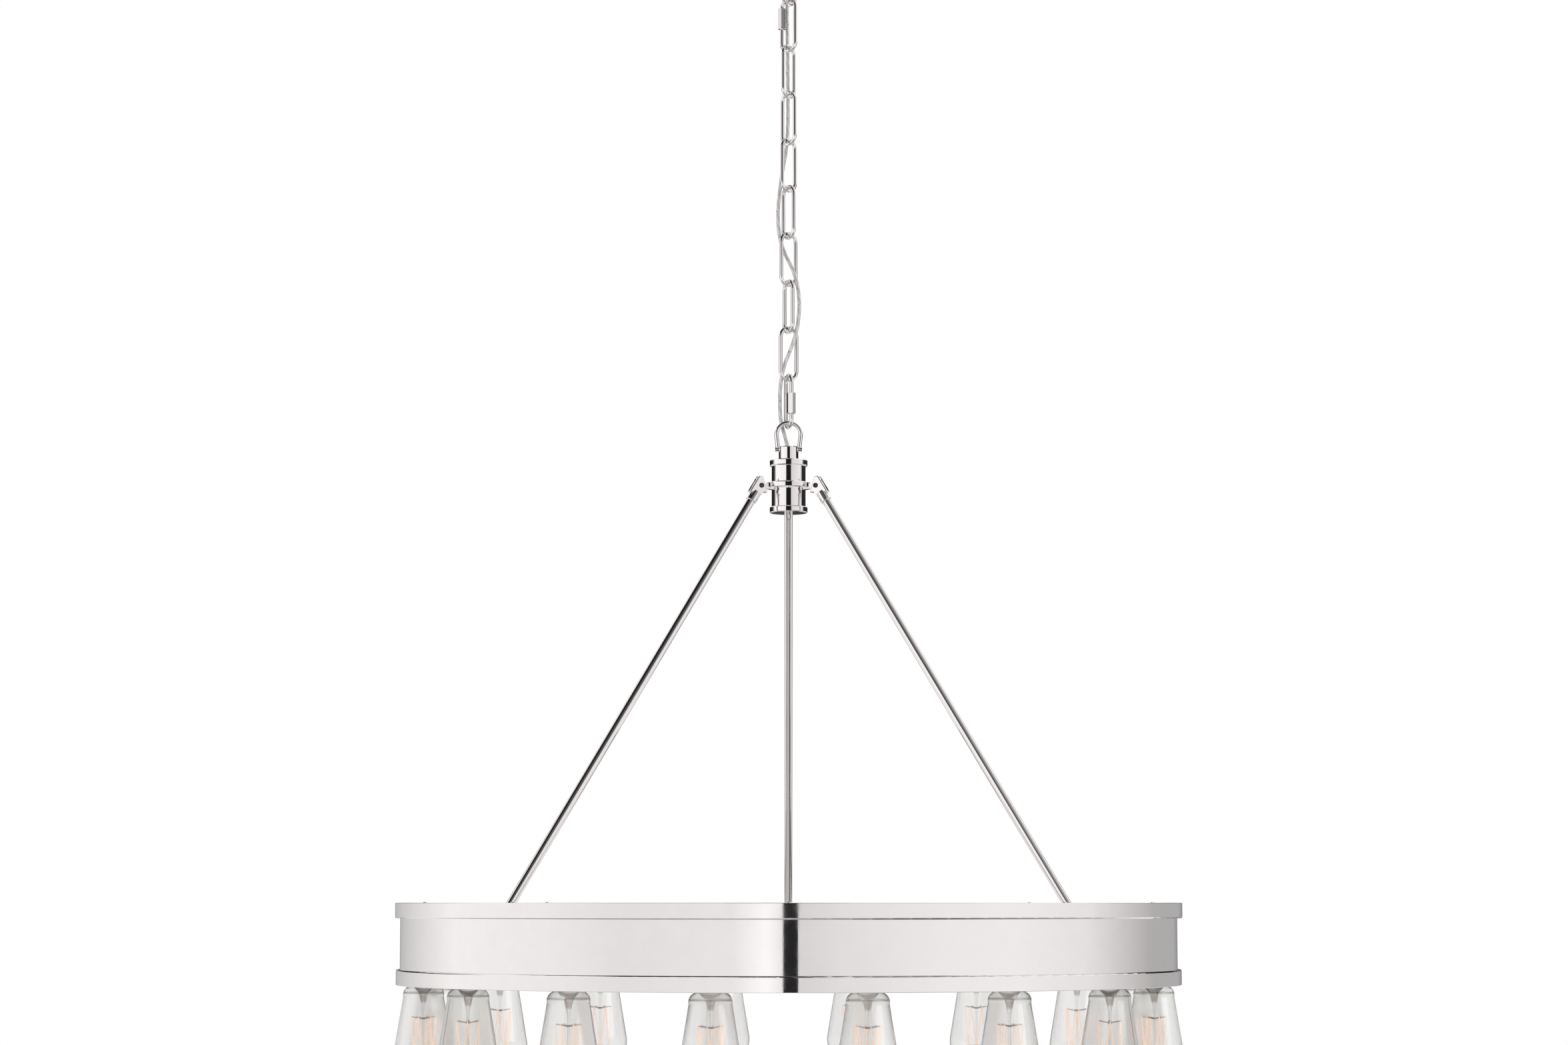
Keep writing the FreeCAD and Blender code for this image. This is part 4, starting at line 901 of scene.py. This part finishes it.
class SetStage(bpy.types.Operator):
    """Sets the camera, the white surroundings, the pale floor, the lamps and what the metal mirrors"""

    bl_idname = "chandelier.set_stage"
    bl_label = "Set the stage"

    def execute(self, context):
        settings = context.scene.chandelier_stage
        self.add_camera(context, settings)
        self.add_world(context, settings)
        self.add_floor(settings)
        for name, place, width, power in SOFTBOXES:
            softbox(name, place, width, power)
        mirrored_only(stage_piece("mirrored_room", *room_wall(settings), room_material(settings)))
        for name, middle, across, up, shade, edge in CARDS:
            reflection_card(name, middle, across, up, shade, edge)
        context.scene.view_settings.view_transform = "Standard"
        return {"FINISHED"}

    def add_camera(self, context, settings):
        """The camera looks along +Y and a little up."""
        camera = bpy.data.cameras.new("camera")
        camera.lens = settings.lens
        made = bpy.data.objects.new("camera", camera)
        context.scene.collection.objects.link(made)
        made.location = settings.camera_place
        made.rotation_euler = (math.pi / 2 + settings.camera_tilt, 0.0, 0.0)
        context.scene.camera = made

    def add_world(self, context, settings):
        """White where it is seen or mirrored, and a soft fill for everything else."""
        world = bpy.data.worlds.new("studio")
        world.use_nodes = True
        tree = world.node_tree
        tree.nodes.clear()
        fill = add_node(tree, "ShaderNodeBackground")
        fill.inputs["Strength"].default_value = settings.fill
        white = add_node(tree, "ShaderNodeBackground")
        white.inputs["Color"].default_value = WHITE
        mixed = mix_shaders(tree, seen_as_white(tree), fill.outputs[0], white.outputs[0])
        wire(tree, mixed, add_node(tree, "ShaderNodeOutputWorld").inputs[0])
        context.scene.world = world

    def add_floor(self, settings):
        """A pale floor that melts into the white surroundings and keeps a soft shadow."""
        material, tree, surface = new_material("pale_floor")
        set_inputs(surface, {"Base Color": grey(settings.floor_shade), "Roughness": 0.9})
        distance = add_node(tree, "ShaderNodeVectorMath", operation="LENGTH")
        wire(tree, object_place(tree), distance.inputs[0])
        white_share = map_range(tree, distance.outputs["Value"], FLOOR_FADE)
        seen = number(tree, "MULTIPLY", seen_as_white(tree), white_share)
        glow = add_node(tree, "ShaderNodeEmission")
        mixed = mix_shaders(tree, seen, surface.outputs[0], glow.outputs[0])
        wire(tree, mixed, tree.nodes["Material Output"].inputs["Surface"])
        width = settings.floor_width
        card("floor", (0.0, 0.0, settings.floor_level), (width, 0.0, 0.0), (0.0, width, 0.0), material)


# Add-on

class ChandelierPanel(bpy.types.Panel):
    """Lists the chandelier's steps and settings"""

    bl_idname = "VIEW3D_PT_chandelier"
    bl_label = "Ring chandelier"
    bl_space_type = "VIEW_3D"
    bl_region_type = "UI"
    bl_category = "Chandelier"

    def draw(self, context):
        for step in STEPS:
            self.layout.operator(step.bl_idname)
        for group in SETTINGS:
            box = self.layout.box()
            values = getattr(context.scene, group)
            for name in values.bl_rna.properties.keys():
                if name not in ("rna_type", "name"):
                    box.prop(values, name)


STEPS = (SetStage, HangCord, FinishMetal, FinishLampholders, FinishLamps)
SETTINGS = {
    "chandelier_cord": CordSettings,
    "chandelier_metal": MetalSettings,
    "chandelier_lamp": LampSettings,
    "chandelier_stage": StageSettings,
}


def register():
    for group in SETTINGS.values():
        bpy.utils.register_class(group)
    for name, group in SETTINGS.items():
        setattr(bpy.types.Scene, name, bpy.props.PointerProperty(type=group))
    for kind in (*STEPS, ChandelierPanel):
        bpy.utils.register_class(kind)


def unregister():
    for kind in (ChandelierPanel, *reversed(STEPS)):
        bpy.utils.unregister_class(kind)
    for name in SETTINGS:
        delattr(bpy.types.Scene, name)
    for group in SETTINGS.values():
        bpy.utils.unregister_class(group)


def main():
    register()
    bpy.ops.chandelier.set_stage()
    bpy.ops.chandelier.hang_cord()
    bpy.ops.chandelier.finish_metal()
    bpy.ops.chandelier.finish_lampholders()
    bpy.ops.chandelier.finish_lamps()


if __name__ == "__main__":
    main()
